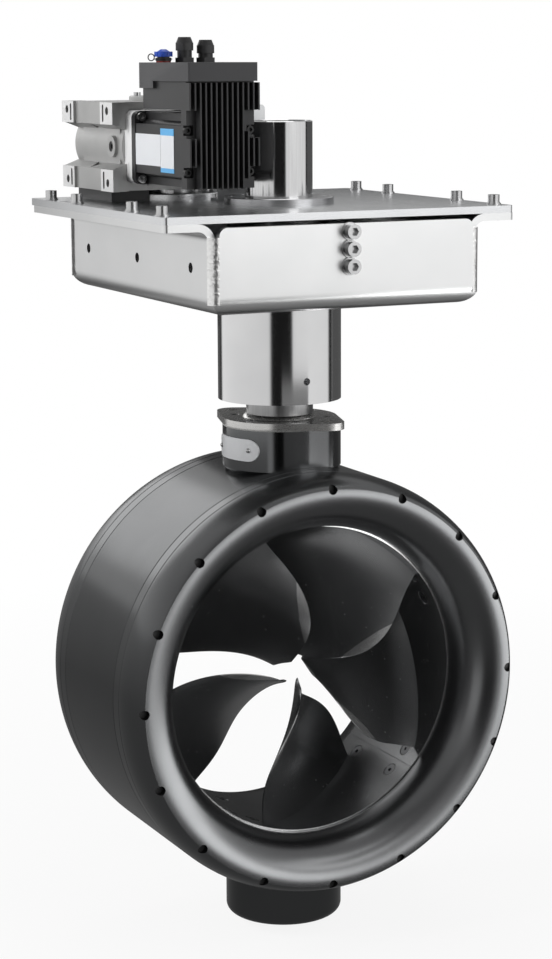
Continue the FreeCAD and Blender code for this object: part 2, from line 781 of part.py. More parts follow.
def gland_nuts():
    nuts = []
    for x, lift in ((fitting_x[1], 3.0), (fitting_x[2], 0.0)):
        foot = V(x, fitting_y, lid_top + 9.5 + lift)
        hexagon = Part.Face(Part.makePolygon([foot + p for p in hex_points(10.6, Z_AXIS)]))
        nut = hexagon.extrude(V(0, 0, 8.5)).common(cylinder(10.2, 8.5, foot))
        dome = Part.makeCone(9.2, 6.8, 6.0, foot + V(0, 0, 8.5))
        nut = nut.fuse(dome).cut(cylinder(4.6, 12.0, foot + V(0, 0, 4.0)))
        nuts.append(nut)
    return group(nuts)


def socket_body():
    foot = V(fitting_x[0], fitting_y, lid_top + 1.5)
    body = cylinder(8.6, 3.5, foot).fuse(cylinder(6.8, 4.5, foot))
    return body.fuse(cylinder(5.0, 1.5, foot - V(0, 0, 1.5)))


def socket_seal():
    return ring(8.0, 5.0, 1.5, V(fitting_x[0], fitting_y, lid_top))


def socket_cap():
    foot = V(fitting_x[0], fitting_y, lid_top + 6.0)
    cap = cylinder(10.0, 5.5, foot)
    dome = Part.makeCone(7.0, 3.0, 2.5, foot + V(0, 0, 5.5))
    for k in range(12):
        cap = cap.cut(cylinder(0.9, 5.5, foot + around_z(10.2, 30 * k, 0)))
    return cap.fuse(dome)


def cap_leash():
    """Flat loop that keeps the cap on the socket."""
    x, y, z = fitting_x[0], fitting_y, lid_top
    loop = Part.makeTorus(3.6, 0.6, V(x - 14.4, y, z + 5.4), Y_AXIS)
    collar = ring(9.6, 8.6, 1.0, V(x, y, z + 3.0))
    tongue = block(x - 11.6, x - 9.2, y - 1.0, y + 1.0, z + 3.0, z + 4.0)
    return collar.fuse([tongue, loop])


def label(y0, y1, z0, z1):
    face_x = worm_x - motor_width / 2
    return block(face_x - 0.4, face_x, y0, y1, z0, z1)


def bracket():
    """Upright sheet behind the motor, bent out at its foot."""
    right = 15.0
    left = -44.0
    y = 66.0
    thick = 3.0
    upright = block(left, right, y, y + thick, 0, 108)
    top = [e for e in upright.Edges if e.BoundBox.ZMin > 107 and e.BoundBox.YLength > thick - 0.01
           and e.BoundBox.XMax > right - 0.01]
    upright = upright.makeFillet(5, top)
    foot = block(left, -20, y + thick, y + 22, 0, thick)
    body = upright.fuse(foot)
    for x in (-38, -26):
        body = body.cut(cylinder(2.7, thick, V(x, y + 13, 0)))
    return body.removeSplitter()


def bracket_screws():
    return group([socket_screw(V(x, 79.0, 3.0), Z_AXIS, 2.5, 4.5, 3.0) for x in (-38, -26)])


# Pod shaft: hollow tube, collar, oval flange, weld bead and screws
shaft_inner = shaft_radius - shaft_wall


def steering_shaft():
    height = shaft_top + flange_top
    tube = ring(shaft_radius, shaft_inner, height, V(0, 0, -flange_top))
    top = [e for e in tube.Edges if e.BoundBox.ZMin > shaft_top - 0.01]
    return tube.makeChamfer(0.8, top)


def thrust_collar():
    base = floor_top + thrust_ring_height + seat_gap
    return ring(thrust_collar_radius - 2, shaft_radius, thrust_collar_height, V(0, 0, base))


def shaft_flange():
    """Oval flange: round waist over the neck with a rounded ear each side, turned on the shaft."""
    base = V(0, 0, -flange_top - flange_thickness)
    a = math.radians(flange_turn)
    ear = V(math.cos(a), math.sin(a), 0)
    side = V(-ear.y, ear.x, 0)
    tilt = math.asin((flange_waist_radius - flange_end_radius) / flange_hole_offset)

    def tangent_points(sign_ear, sign_side):
        normal = ear * (sign_ear * math.sin(tilt)) + side * (sign_side * math.cos(tilt))
        waist = base + normal * flange_waist_radius
        end = base + ear * (sign_ear * flange_hole_offset) + normal * flange_end_radius
        return waist, end
    w1, e1 = tangent_points(1, 1)
    w2, e2 = tangent_points(1, -1)
    w3, e3 = tangent_points(-1, -1)
    w4, e4 = tangent_points(-1, 1)
    tip1 = base + ear * (flange_hole_offset + flange_end_radius)
    tip2 = base - ear * (flange_hole_offset + flange_end_radius)
    edges = [
        Part.Arc(w4, base + side * flange_waist_radius, w1), Part.LineSegment(w1, e1), Part.Arc(e1, tip1, e2),
        Part.LineSegment(e2, w2), Part.Arc(w2, base - side * flange_waist_radius, w3),
        Part.LineSegment(w3, e3), Part.Arc(e3, tip2, e4), Part.LineSegment(e4, w4)]
    body = Part.Face(Part.Wire([e.toShape() for e in edges])).extrude(V(0, 0, flange_thickness))
    for sign in (-1, 1):
        spot = base + ear * (sign * flange_hole_offset)
        body = body.cut(cylinder(flange_hole_radius, flange_thickness, spot))
    body = body.cut(cylinder(shaft_inner, flange_thickness, base))
    for p in flange_screw_points(-flange_top):
        low = p - V(0, 0, flange_thickness)
        body = body.cut(cylinder(3.0, flange_thickness, low))
        body = body.cut(Part.makeCone(3.0, 6.0, 3.6, p - V(0, 0, 3.6)))
    return body


def flange_screw_points(z):
    return [around_z(53.0, flange_turn + 30 + 60 * k, z) for k in range(6)]


def shaft_flange_screws():
    return group([countersunk_screw(p, Z_AXIS, 2.9, flange_thickness + 6)
                  for p in flange_screw_points(-flange_top - 0.2)])


def shaft_weld():
    """Rough fillet of weld between the shaft and its flange."""
    z = -flange_top
    return revolved([V(shaft_radius, 0, z), V(shaft_radius + 4.2, 0, z), V(shaft_radius + 2.6, 0, z + 2.6),
                     V(shaft_radius, 0, z + 4.4)], V(0, 0, 0), Z_AXIS)


# Pod: neck, nameplate, housing, clamp rings, nozzles, bearings and motor
neck_base = V(0, neck_y, 0)


def pod_neck():
    low = neck_top - neck_height
    collar = neck_radius - neck_chamfer
    body = revolved([V(0, neck_y, neck_top), V(neck_radius, neck_y, neck_top), V(neck_radius, neck_y, low),
                     V(collar, neck_y, low - neck_chamfer), V(collar, neck_y, duct_z + duct_radius * 0.9),
                     V(0, neck_y, duct_z + duct_radius * 0.9)], neck_base, Z_AXIS)
    body = body.cut(cylinder(duct_radius, 2 * duct_radius, V(0, -duct_radius, duct_z), Y_AXIS))
    body = body.cut(cylinder(pod_cable_radius, neck_top - duct_z, V(0, 0, duct_z)))
    for p in flange_screw_points(neck_top):
        body = body.cut(cylinder(2.9, 6.5, p - V(0, 0, 6.5)))
    return body


nameplate_angle = 188.7
nameplate_half = 25.5
nameplate_height = 25.0
nameplate_mid = -270.7


def nameplate_frame():
    a = math.radians(nameplate_angle)
    out = V(math.cos(a), math.sin(a), 0)
    along = V(-out.y, out.x, 0)
    return out, along


def nameplate():
    """Thin stadium plate bent round the neck."""
    out, along = nameplate_frame()
    inner = neck_radius + seat_gap
    skin = ring(inner + 1.0, inner, nameplate_height, V(0, neck_y, nameplate_mid - nameplate_height / 2))
    half = nameplate_half
    end = nameplate_height / 2
    middle = V(0, neck_y, nameplate_mid)
    bar = Part.makeBox(2 * half, 2 * neck_radius, nameplate_height, V(-half, 0, -end))
    ends = [cylinder(end, 2 * neck_radius, V(sx * half, 0, 0), Y_AXIS) for sx in (-1, 1)]
    prism = bar.fuse(ends)
    prism.rotate(V(0, 0, 0), Z_AXIS, nameplate_angle - 90)
    prism.translate(middle)
    return skin.common(prism)


def nameplate_rivets():
    rivets = []
    for sign in (-1, 1):
        reach = math.asin(nameplate_half / neck_radius) * sign
        a = math.radians(nameplate_angle) + reach
        out = V(math.cos(a), math.sin(a), 0)
        skin = neck_radius + 2 * seat_gap + 1.0
        head = Part.makeSphere(2.8, V(0, neck_y, nameplate_mid) + out * (skin - 0.6))
        rivets.append(head.cut(cylinder(skin, nameplate_height, V(0, neck_y, nameplate_mid - nameplate_height / 2))))
    return group(rivets)


def duct_ring(outer, inner, y0, y1):
    return ring(outer, inner, y1 - y0, V(0, y0, duct_z), Y_AXIS)


hoop_inner = ring_inner_radius + ring_thickness
hoop_outer = hoop_inner + hoop_thickness
magnet_outer = hoop_outer + magnet_thickness
stator_bore = magnet_outer + air_gap
journal_bore = hoop_outer + running_gap


def stator_housing():
    """Outer shell of the rim motor with a shoulder for each bearing ring, grooved at its ends."""
    half = housing_half_length
    body = duct_ring(duct_radius, stator_outer_radius, pod_y - half, pod_y + half)
    for sign in (-1, 1):
        edge = pod_y + sign * half
        y0, y1 = sorted((edge, edge - sign * groove))
        body = body.cut(duct_ring(duct_radius, duct_radius - groove, y0, y1))
    return body.cut(cylinder(pod_cable_radius, duct_radius, V(0, 0, duct_z)))


def clamp_rings():
    """Ring between the housing and each nozzle."""
    rings = []
    for sign in (-1, 1):
        near = pod_y + sign * housing_half_length
        far = near + sign * clamp_ring_width
        y0, y1 = sorted((near, far))
        body = duct_ring(duct_radius, stator_outer_radius - 6, y0, y1)
        y0, y1 = sorted((far, far - sign * groove))
        rings.append(body.cut(duct_ring(duct_radius, duct_radius - groove, y0, y1)))
    return group(rings)


def nozzle_ring(sign):
    """Nozzle: convex outer face, sharp crest, elliptical bell mouth down to the throat."""
    edge = pod_y + sign * (housing_half_length + clamp_ring_width)
    crest_y = pod_y + sign * nozzle_half_length
    throat_y = pod_y + sign * throat_length
    spigot_y = pod_y + sign * (housing_half_length + 4.0)
    ring_end = pod_y + sign * (ring_half_length + 1.0)
    spigot_radius = stator_outer_radius - 6

    def at(r, y):
        return V(0, y, duct_z + r)
    end_angle = math.acos((nozzle_bulge - (duct_radius - crest_radius)) / nozzle_bulge)
    reach = abs(crest_y - edge) / math.sin(end_angle)
    outer = []
    for k in range(9):
        t = end_angle * k / 8
        outer.append(at(duct_radius - nozzle_bulge + nozzle_bulge * math.cos(t), edge + sign * reach * math.sin(t)))
    inner = []
    for k in range(13):
        t = math.pi / 2 * (1 - k / 12)
        r = crest_radius - (crest_radius - throat_radius) * math.cos(t)
        inner.append(at(r, throat_y + sign * abs(crest_y - throat_y) * math.sin(t)))
    outer_curve = Part.BSplineCurve()
    outer_curve.interpolate(outer)
    inner_curve = Part.BSplineCurve()
    inner_curve.interpolate(inner)
    straight = [inner[-1], at(throat_radius, ring_end), at(spigot_radius, ring_end), at(spigot_radius, edge), outer[0]]
    edges = [outer_curve.toShape(), inner_curve.toShape()]
    edges += [Part.LineSegment(a, b).toShape() for a, b in zip(straight[:-1], straight[1:])]
    face = Part.Face(Part.Wire(Part.__sortEdges__(edges)))
    body = face.revolve(V(0, 0, duct_z), Y_AXIS, 360)
    for k in range(nozzle_screw_count):
        p = in_duct(crest_radius, 360 / nozzle_screw_count * k, crest_y)
        body = body.cut(cylinder(nozzle_screw_hole, nozzle_screw_depth + 5, p + V(0, sign * 5, 0), V(0, -sign, 0)))
    return body


def nozzle_screws():
    """Cap screws sunk in the crest of both nozzles."""
    screws = []
    for sign in (-1, 1):
        crest_y = pod_y + sign * nozzle_half_length
        for k in range(nozzle_screw_count):
            base = in_duct(crest_radius, 360 / nozzle_screw_count * k, crest_y - sign * nozzle_screw_depth)
            screws.append(cylinder(nozzle_screw_hole - 0.3, 6.0, base, V(0, sign, 0)))
    return group(screws)


def bearing_rings():
    rings = []
    for sign in (-1, 1):
        y0, y1 = sorted((pod_y + sign * (hoop_half_length - journal_width), pod_y + sign * hoop_half_length))
        rings.append(duct_ring(stator_outer_radius, journal_bore, y0, y1))
    return group(rings)


def stator_core():
    """Laminated ring with open slots towards the air gap."""
    y0 = pod_y - active_half_length
    core = duct_ring(stator_outer_radius, stator_bore, y0, pod_y + active_half_length)
    slots = []
    for k in range(slot_count):
        slot = block(-5, 5, y0, pod_y + active_half_length, duct_z + stator_bore - 2, duct_z + stator_outer_radius - 8)
        slot.rotate(V(0, 0, duct_z), Y_AXIS, 360 / slot_count * k)
        slots.append(slot)
    return core.cut(group(slots))


def stator_windings():
    """Resin cast windings: one bar in each slot, joined by a ring at each end of the core."""
    ends = []
    for sign in (-1, 1):
        y0, y1 = sorted((pod_y + sign * active_half_length, pod_y + sign * (hoop_half_length - journal_width)))
        ends.append(duct_ring(stator_outer_radius - 2, stator_bore + 3, y0, y1))
    bars = []
    for k in range(slot_count):
        bar = block(-4.5, 4.5, pod_y - active_half_length, pod_y + active_half_length,
                    duct_z + stator_bore + 3.5, duct_z + stator_outer_radius - 8.5)
        bar.rotate(V(0, 0, duct_z), Y_AXIS, 360 / slot_count * k)
        bars.append(bar)
    return ends[0].fuse([ends[1]] + bars)


def bottom_stub():
    """Round plug under the housing that carries the lower skeg bearing point."""
    height = duct_z - stub_bottom
    stub = cylinder(neck_radius, height, V(0, neck_y, stub_bottom))
    low = [e for e in stub.Edges if e.BoundBox.ZMax < stub_bottom + 0.01]
    stub = stub.makeFillet(stub_edge, low)
    return stub.cut(cylinder(duct_radius, 2 * duct_radius, V(0, -duct_radius, duct_z), Y_AXIS))


# Propeller: steel hoop, magnets and five blades with their ring segments
def rotor_hoop():
    body = duct_ring(hoop_outer, hoop_inner, pod_y - hoop_half_length, pod_y + hoop_half_length)
    cuts = [cylinder(blade_screw_radius, hoop_thickness + 1, p, d) for p, d in blade_screw_places(hoop_inner - 0.5)]
    return body.cut(group(cuts))


def rotor_magnets():
    blocks = []
    full = duct_ring(magnet_outer, hoop_outer, pod_y - active_half_length, pod_y + active_half_length)
    for k in range(magnet_count):
        reach = 2 * magnet_outer
        half = math.tan(math.radians(180 / magnet_count - magnet_gap)) * reach
        front = pod_y - hoop_half_length
        wedge = polygon([V(0, front, duct_z), V(-half, front, duct_z + reach), V(half, front, duct_z + reach)])
        wedge = wedge.extrude(V(0, 2 * hoop_half_length, 0))
        wedge.rotate(V(0, 0, duct_z), Y_AXIS, 360 / magnet_count * k)
        blocks.append(full.common(wedge))
    return group(blocks)


# Blade edges by radius: clock angle behind the blade's mark and distance from mid duct
BLADE_STATIONS = [
    # radius, leading angle, leading y, trailing angle, trailing y, thickness
    (178.5, -1.5, -59.0, -57.5, 46.0, 9.5),
    (156.0, 1.5, -60.0, -62.0, 62.0, 9.0),
    (132.0, 5.5, -68.0, -66.5, 70.0, 8.5),
    (105.0, 9.5, -80.0, -67.0, 65.0, 8.0),
    (78.0, 11.5, -86.0, -63.0, 48.0, 7.2),
    (54.0, 9.5, -82.0, -57.0, 24.0, 6.2),
    (34.0, 0.0, -68.0, -54.0, 4.0, 5.0),
    (19.0, -20.0, -48.0, -60.0, -14.0, 3.6),
]
BLADE_CHORD_STEPS = 8
BLADE_CAMBER = 0.035


def blade_section(station):
    """Closed section on its cylinder: a cambered helical chord with rounded thin edges."""
    radius, lead_angle, lead_y, trail_angle, trail_y, thick = station
    upper = []
    lower = []
    arc = math.radians(trail_angle - lead_angle) * radius
    run = trail_y - lead_y
    chord = math.hypot(arc, run)
    across = (run / chord, -arc / chord)
    for i in range(BLADE_CHORD_STEPS + 1):
        s = i / BLADE_CHORD_STEPS
        half = 0.5 * thick * (0.16 + 0.84 * math.sqrt(max(4 * s * (1 - s), 0)) * (1.15 - 0.3 * s))
        bow = BLADE_CAMBER * chord * 4 * s * (1 - s)
        for points, shift in ((upper, bow + half), (lower, bow - half)):
            u = arc * s + across[0] * shift
            y = lead_y + run * s + across[1] * shift
            points.append(in_duct(radius, lead_angle + math.degrees(u / radius), pod_y + y))
    return upper, lower


def blade_body():
    """Lofted blade: two skins and two edge strips through every section, closed at root and tip."""
    wires = []
    caps = []
    for n, station in enumerate(BLADE_STATIONS):
        upper, lower = blade_section(station)
        top = Part.BSplineCurve()
        top.interpolate(upper)
        under = Part.BSplineCurve()
        under.interpolate(lower)
        top_edge = top.toShape()
        under_edge = under.toShape()
        lead = Part.LineSegment(lower[0], upper[0]).toShape()
        trail = Part.LineSegment(upper[-1], lower[-1]).toShape()
        wires.append(Part.Wire([top_edge, trail, under_edge, lead]))
        if n in (0, len(BLADE_STATIONS) - 1):
            caps.append(Part.makeRuledSurface(top_edge, under_edge))
    skin = Part.makeLoft(wires, False, False)
    shell = Part.Shell(skin.Faces + caps)
    shell.sewShape()
    body = Part.Solid(Part.Shell(shell.Faces))
    if body.Volume < 0:
        body.reverse()
    return body


def ring_segment():
    """One fifth of the propeller ring, from one joint to the next."""
    body = duct_ring(hoop_inner, ring_inner_radius, pod_y - ring_half_length, pod_y + ring_half_length)
    span = 360 / blade_count
    reach = 2 * hoop_inner
    joints = segment_joints()
    first = joints[0]
    gap_half = math.degrees(segment_gap / 2 / ring_inner_radius)
    wedge = [V(0, pod_y - 2 * ring_half_length, duct_z)]
    for clock in (first + gap_half, first + span / 2, first + span - gap_half):
        wedge.append(in_duct(reach, clock, pod_y - 2 * ring_half_length))
    prism = polygon(wedge).extrude(V(0, 4 * ring_half_length, 0))
    return body.common(prism)


def segment_joints():
    """Clock angles of the ring joints next to the first blade, which lies between them."""
    return (blade_phase - 360 / blade_count + joint_offset, blade_phase + joint_offset)


def blade_screw_places(radius):
    """Four screws at each joint, two in either segment: place and outward direction."""
    places = []
    for k in range(blade_count):
        for clock, y in ((-5.0, -45.0), (-5.0, 38.5), (5.0, -45.0), (5.0, 38.5)):
            a = blade_phase + joint_offset + clock + 360 / blade_count * k
            p = in_duct(radius, a, pod_y + y)
            places.append((p, (p - V(0, p.y, duct_z)).normalize()))
    return places


def propeller_blades():
    blank = blade_body()
    seat = ring_segment()
    blades = []
    for k in range(blade_count):
        blade = blank.copy()
        blade.rotate(V(0, 0, duct_z), Y_AXIS, blade_phase + 360 / blade_count * k)
        segment = seat.copy()
        segment.rotate(V(0, 0, duct_z), Y_AXIS, 360 / blade_count * k)
        whole = segment.fuse(blade)
        whole = whole.cut(group([cylinder(blade_screw_radius, ring_thickness + 2, p, d)
                                 for p, d in blade_screw_places(ring_inner_radius - 1)]))
        sink = blade_screw_radius + 1.2
        whole = whole.cut(group([Part.makeCone(blade_screw_radius + sink, blade_screw_radius, sink, p - d * 0.6, d)
                                 for p, d in blade_screw_places(ring_inner_radius)]))
        blades.append(whole)
    return blades


def blade_screws():
    screws = []
    for p, d in blade_screw_places(ring_inner_radius + 0.4):
        screws.append(countersunk_screw(p, d * -1, blade_screw_radius - 0.1, ring_thickness + hoop_thickness - 2))
    return group(screws)


def build_all():
    os.makedirs("parts", exist_ok=True)
    save("cover_plate", cover_plate())
    save("mounting_tray", mounting_tray())
    save("corner_welds", corner_welds())
    save("stop_bar", stop_bar())
    save("cover_screws", cover_screws())
    save("front_wall_screws", front_wall_screws())
    save("screw_washers", screw_washers())
    save("column_tube", column_tube())
    save("lower_bearing_holder", lower_bearing_holder())
    save("shaft_seal", shaft_seal())
    save("upper_bearing_holder", upper_bearing_holder())
    save("shaft_bushes", group([upper_bush(), lower_bush()]))
    save("bearing_cap", bearing_cap())
    save("bearing_cap_screws", bearing_cap_screws())
    save("thrust_ring", thrust_ring())
    save("gearbox_housing", gearbox_housing())
    save("oil_plug", oil_plug())
    save("gearbox_cover", gearbox_cover())
    save("base_disc", base_disc())
    save("base_disc_screws", base_disc_screws())
    save("gearbox_pedestal", pedestal())
    save("motor_adapter", motor_adapter())
    save("motor_body", motor_body())
    save("drive_screws", group([motor_flange_screws(), rear_cover_screws(), gearbox_cover_screws(),
                                bracket_screws()]))
    save("finned_cover", finned_cover())
    save("electronics_lid", electronics_lid())
    save("cable_glands", group([gland_bodies(), gland_nuts()]))
    save("socket_body", socket_body())
    save("socket_seal", socket_seal())
    save("socket_cap", socket_cap())
    save("cap_leash", cap_leash())
    save("labels", group([label(-16.0, 53.6, 45.0, 79.0), label(-52.6, -16.6, 38.8, 86.0)]))
    save("bracket", bracket())
    save("output_shaft", output_shaft())
    save("pinion", pinion())
    save("steering_shaft", steering_shaft())
    save("steering_gear", steering_gear())
    save("thrust_collar", thrust_collar())
    save("shaft_flange", shaft_flange().fuse(shaft_weld()))
    save("shaft_flange_screws", shaft_flange_screws())
    save("pod_neck", pod_neck())
    save("nameplate", nameplate())
    save("nameplate_rivets", nameplate_rivets())
    save("stator_housing", stator_housing())
    save("clamp_rings", clamp_rings())
    save("front_nozzle", nozzle_ring(-1))
    save("rear_nozzle", nozzle_ring(1))
    save("nozzle_screws", nozzle_screws())
    save("stator_core", stator_core())
    save("stator_windings", stator_windings())
    save("bearing_rings", bearing_rings())
    save("bottom_stub", bottom_stub())
    save("rotor_hoop", rotor_hoop())
    save("rotor_magnets", rotor_magnets())
    for number, blade in enumerate(propeller_blades(), 1):
        save("blade_%d" % number, blade)
    save("blade_screws", blade_screws())


build_all()
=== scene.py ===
import bpy
import bmesh
import json
import math
from mathutils import Matrix, Vector


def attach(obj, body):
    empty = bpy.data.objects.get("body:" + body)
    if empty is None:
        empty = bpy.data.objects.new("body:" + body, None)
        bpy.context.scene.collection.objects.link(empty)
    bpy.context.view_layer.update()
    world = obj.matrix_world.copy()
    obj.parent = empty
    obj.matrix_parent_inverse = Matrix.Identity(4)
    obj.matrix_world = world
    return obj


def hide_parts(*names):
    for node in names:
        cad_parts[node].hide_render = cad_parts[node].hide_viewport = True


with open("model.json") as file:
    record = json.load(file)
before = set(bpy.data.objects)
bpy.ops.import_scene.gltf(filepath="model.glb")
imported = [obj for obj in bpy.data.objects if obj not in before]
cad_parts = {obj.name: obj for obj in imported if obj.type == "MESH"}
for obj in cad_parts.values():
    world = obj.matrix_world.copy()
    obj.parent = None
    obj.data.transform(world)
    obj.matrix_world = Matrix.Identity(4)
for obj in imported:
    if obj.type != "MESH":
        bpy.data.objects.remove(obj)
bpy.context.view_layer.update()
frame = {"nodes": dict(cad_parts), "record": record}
nodes = frame["nodes"]

# Camera: a long lens looking down at the unit from the front left.
# Its place and turns come from the pieces' real sizes and where they lie in the picture.
camera_place = Vector((-1.1587, -2.3932, 0.1625))
camera_yaw = 0.44921
camera_pitch = 0.17751
camera_roll = -0.00467
camera = bpy.data.objects.new("camera", bpy.data.cameras.new("camera"))
bpy.context.scene.collection.objects.link(camera)
camera.data.sensor_width = 36.0
focal_length_px = 2361.63
frame_height_px = 959
camera.data.lens = focal_length_px / frame_height_px * camera.data.sensor_width
camera.data.clip_end = 60.0
ahead = Vector((math.sin(camera_yaw) * math.cos(camera_pitch), math.cos(camera_yaw) * math.cos(camera_pitch),
                -math.sin(camera_pitch)))
level_right = Vector((math.cos(camera_yaw), -math.sin(camera_yaw), 0))
level_up = level_right.cross(ahead)
right = level_right * math.cos(camera_roll) + level_up * math.sin(camera_roll)
up = level_up * math.cos(camera_roll) - level_right * math.sin(camera_roll)
camera.matrix_world = Matrix.Translation(camera_place) @ Matrix((right, up, -ahead)).transposed().to_4x4()
bpy.context.scene.camera = camera
bpy.context.scene.view_settings.view_transform = "Standard"


# Studio: a pale floor and a world that shows white to the camera. Metal sees a bright room with a
# dark gap where the camera stands, and cards close to the pod that only reflections see.
def add_node(tree, kind, settings=None, links=None):
    """Adds one node: settings by property or input name, links by input name to an output socket."""
    node = tree.nodes.new(kind)
    for name, value in (settings or {}).items():
        if isinstance(name, int) or name in node.inputs:
            node.inputs[name].default_value = value
        else:
            setattr(node, name, value)
    for name, socket in (links or {}).items():
        tree.links.new(socket, node.inputs[name])
    return node


def colour(code):
    """An sRGB hex code as the linear colour that a shader takes."""
    parts = [int(code[k:k + 2], 16) / 255 for k in (1, 3, 5)]
    return tuple(c / 12.92 if c <= 0.04045 else ((c + 0.055) / 1.055) ** 2.4 for c in parts) + (1.0,)


def ramp_stops(node, stops):
    """Sets a colour ramp to grey stops of (place, value)."""
    elements = node.color_ramp.elements
    while len(elements) < len(stops):
        elements.new(0.5)
    for element, (place, value) in zip(elements, stops):
        element.position = place
        element.color = (value, value, value, 1.0)


world = bpy.data.worlds.new("studio room")
bpy.context.scene.world = world
world.use_nodes = True
room = world.node_tree
room.nodes.clear()
sight = add_node(room, "ShaderNodeTexCoord")
room_turn = math.radians(25.74)
turned = add_node(room, "ShaderNodeVectorRotate", {"rotation_type": "Z_AXIS", "Angle": room_turn},
                  {"Vector": sight.outputs["Generated"]})
parts = add_node(room, "ShaderNodeSeparateXYZ", links={"Vector": turned.outputs["Vector"]})
bearing = add_node(room, "ShaderNodeMath", {"operation": "ARCTAN2"},
                   {0: parts.outputs["X"], 1: parts.outputs["Y"]})
bearing = add_node(room, "ShaderNodeMapRange", {"From Min": -math.pi, "From Max": math.pi},
                   {"Value": bearing.outputs[0]})
# 0 and 1 lie at the camera; 0.25 is to its left seen from the unit, 0.5 behind the unit
level_bands = add_node(room, "ShaderNodeValToRGB", links={"Fac": bearing.outputs[0]})
ramp_stops(level_bands, [(0.0, 0.012), (0.040, 0.012), (0.052, 0.90), (0.20, 0.97), (0.368, 1.05),
                         (0.385, 0.05), (0.5, 0.08), (0.676, 0.22), (0.69, 0.015), (0.705, 0.015),
                         (0.716, 0.98), (0.84, 1.02), (0.928, 0.96), (0.938, 0.012), (1.0, 0.012)])
upper_bands = add_node(room, "ShaderNodeValToRGB", links={"Fac": bearing.outputs[0]})
ramp_stops(upper_bands, [(0.0, 0.35), (0.06, 0.6), (0.3, 0.85), (0.5, 0.85), (0.7, 0.85), (0.94, 0.6),
                         (1.0, 0.35)])
height = add_node(room, "ShaderNodeMapRange", {"From Min": -1.0, "From Max": 1.0},
                  {"Value": parts.outputs["Z"]})
above = add_node(room, "ShaderNodeMapRange",
                 {"From Min": 0.515, "From Max": 0.575, "interpolation_type": "SMOOTHSTEP"},
                 {"Value": height.outputs[0]})
sides = add_node(room, "ShaderNodeMixRGB", links={0: above.outputs[0], 1: level_bands.outputs[0],
                                                  2: upper_bands.outputs[0]})
tiers = add_node(room, "ShaderNodeValToRGB", links={"Fac": height.outputs[0]})
ramp_stops(tiers, [(0.0, 0.03), (0.10, 0.08), (0.22, 0.55), (0.32, 0.97), (0.40, 1.0), (0.60, 1.0),
                   (0.68, 0.8), (0.80, 0.6), (1.0, 0.7)])
seen = add_node(room, "ShaderNodeMixRGB", {"blend_type": "MULTIPLY", 0: 1.0},
                {1: sides.outputs[0], 2: tiers.outputs[0]})
light_path = add_node(room, "ShaderNodeLightPath")
mirrored = add_node(room, "ShaderNodeBackground", {"Strength": 1.0}, {"Color": seen.outputs[0]})
plain = add_node(room, "ShaderNodeBackground", {"Color": (1, 1, 1, 1), "Strength": 0.28})
shown = add_node(room, "ShaderNodeBackground", {"Color": (1, 1, 1, 1), "Strength": 1.0})
lit = add_node(room, "ShaderNodeMixShader",
               links={0: light_path.outputs["Is Glossy Ray"], 1: plain.outputs[0], 2: mirrored.outputs[0]})
final = add_node(room, "ShaderNodeMixShader",
                 links={0: light_path.outputs["Is Camera Ray"], 1: lit.outputs[0], 2: shown.outputs[0]})
add_node(room, "ShaderNodeOutputWorld", links={"Surface": final.outputs[0]})


def area_light(name, place, aim, wide, tall, power, in_mirrors=True):
    """A soft box at a place, aimed at a point."""
    lamp = bpy.data.lights.new(name, "AREA")
    lamp.shape = "RECTANGLE"
    lamp.size = wide
    lamp.size_y = tall
    lamp.energy = power
    obj = bpy.data.objects.new(name, lamp)
    bpy.context.scene.collection.objects.link(obj)
    obj.location = place
    obj.rotation_euler = (Vector(aim) - Vector(place)).to_track_quat("-Z", "Y").to_euler()
    obj.visible_camera = False
    obj.visible_glossy = in_mirrors


area_light("soft_box_behind", (-0.40, 1.80, 0.55), (-0.15, 0, -0.35), 1.1, 0.9, 3.4)
area_light("soft_box_front_right", (0.95, -1.90, 0.65), (0, 0, -0.5), 1.4, 1.2, 9.0)
area_light("low_panel", (0.84, -0.54, -0.67), (0, 0, -0.62), 1.5, 0.36, 4.6)
area_light("key_left", (-2.40, 0.30, 0.90), (0, 0, -0.2), 1.6, 1.6, 42, in_mirrors=False)
area_light("top_light", (0.30, 0.30, 2.20), (0, 0, 0), 1.6, 1.6, 12)

floor_level = -0.84
floor_mesh = bpy.data.meshes.new("floor")
shape = bmesh.new()
bmesh.ops.create_circle(shape, cap_ends=True, segments=96, radius=14.0)
bmesh.ops.translate(shape, verts=shape.verts, vec=(0, 0, floor_level))
shape.to_mesh(floor_mesh)
shape.free()
floor = bpy.data.objects.new("floor", floor_mesh)
bpy.context.scene.collection.objects.link(floor)
floor_paint = bpy.data.materials.new("white_studio_floor")
floor_paint.use_nodes = True
tree = floor_paint.node_tree
tree.nodes.clear()
path = add_node(tree, "ShaderNodeLightPath")
shadowed = add_node(tree, "ShaderNodeBsdfDiffuse", {"Color": colour("#F2F2F2")})
white = add_node(tree, "ShaderNodeEmission", {"Color": (1, 1, 1, 1), "Strength": 1.0})
dim = add_node(tree, "ShaderNodeEmission", {"Color": (1, 1, 1, 1)})
room_through = add_node(tree, "ShaderNodeBsdfTransparent")
spot = add_node(tree, "ShaderNodeTexCoord")
away = add_node(tree, "ShaderNodeVectorMath", {"operation": "LENGTH"}, {0: spot.outputs["Object"]})
fade = add_node(tree, "ShaderNodeMapRange", {"From Min": 0.9, "From Max": 2.0, "To Min": 0.88, "To Max": 1.0},
                {"Value": away.outputs["Value"]})
near = add_node(tree, "ShaderNodeMixShader",
                links={0: fade.outputs[0], 1: shadowed.outputs[0], 2: white.outputs[0]})
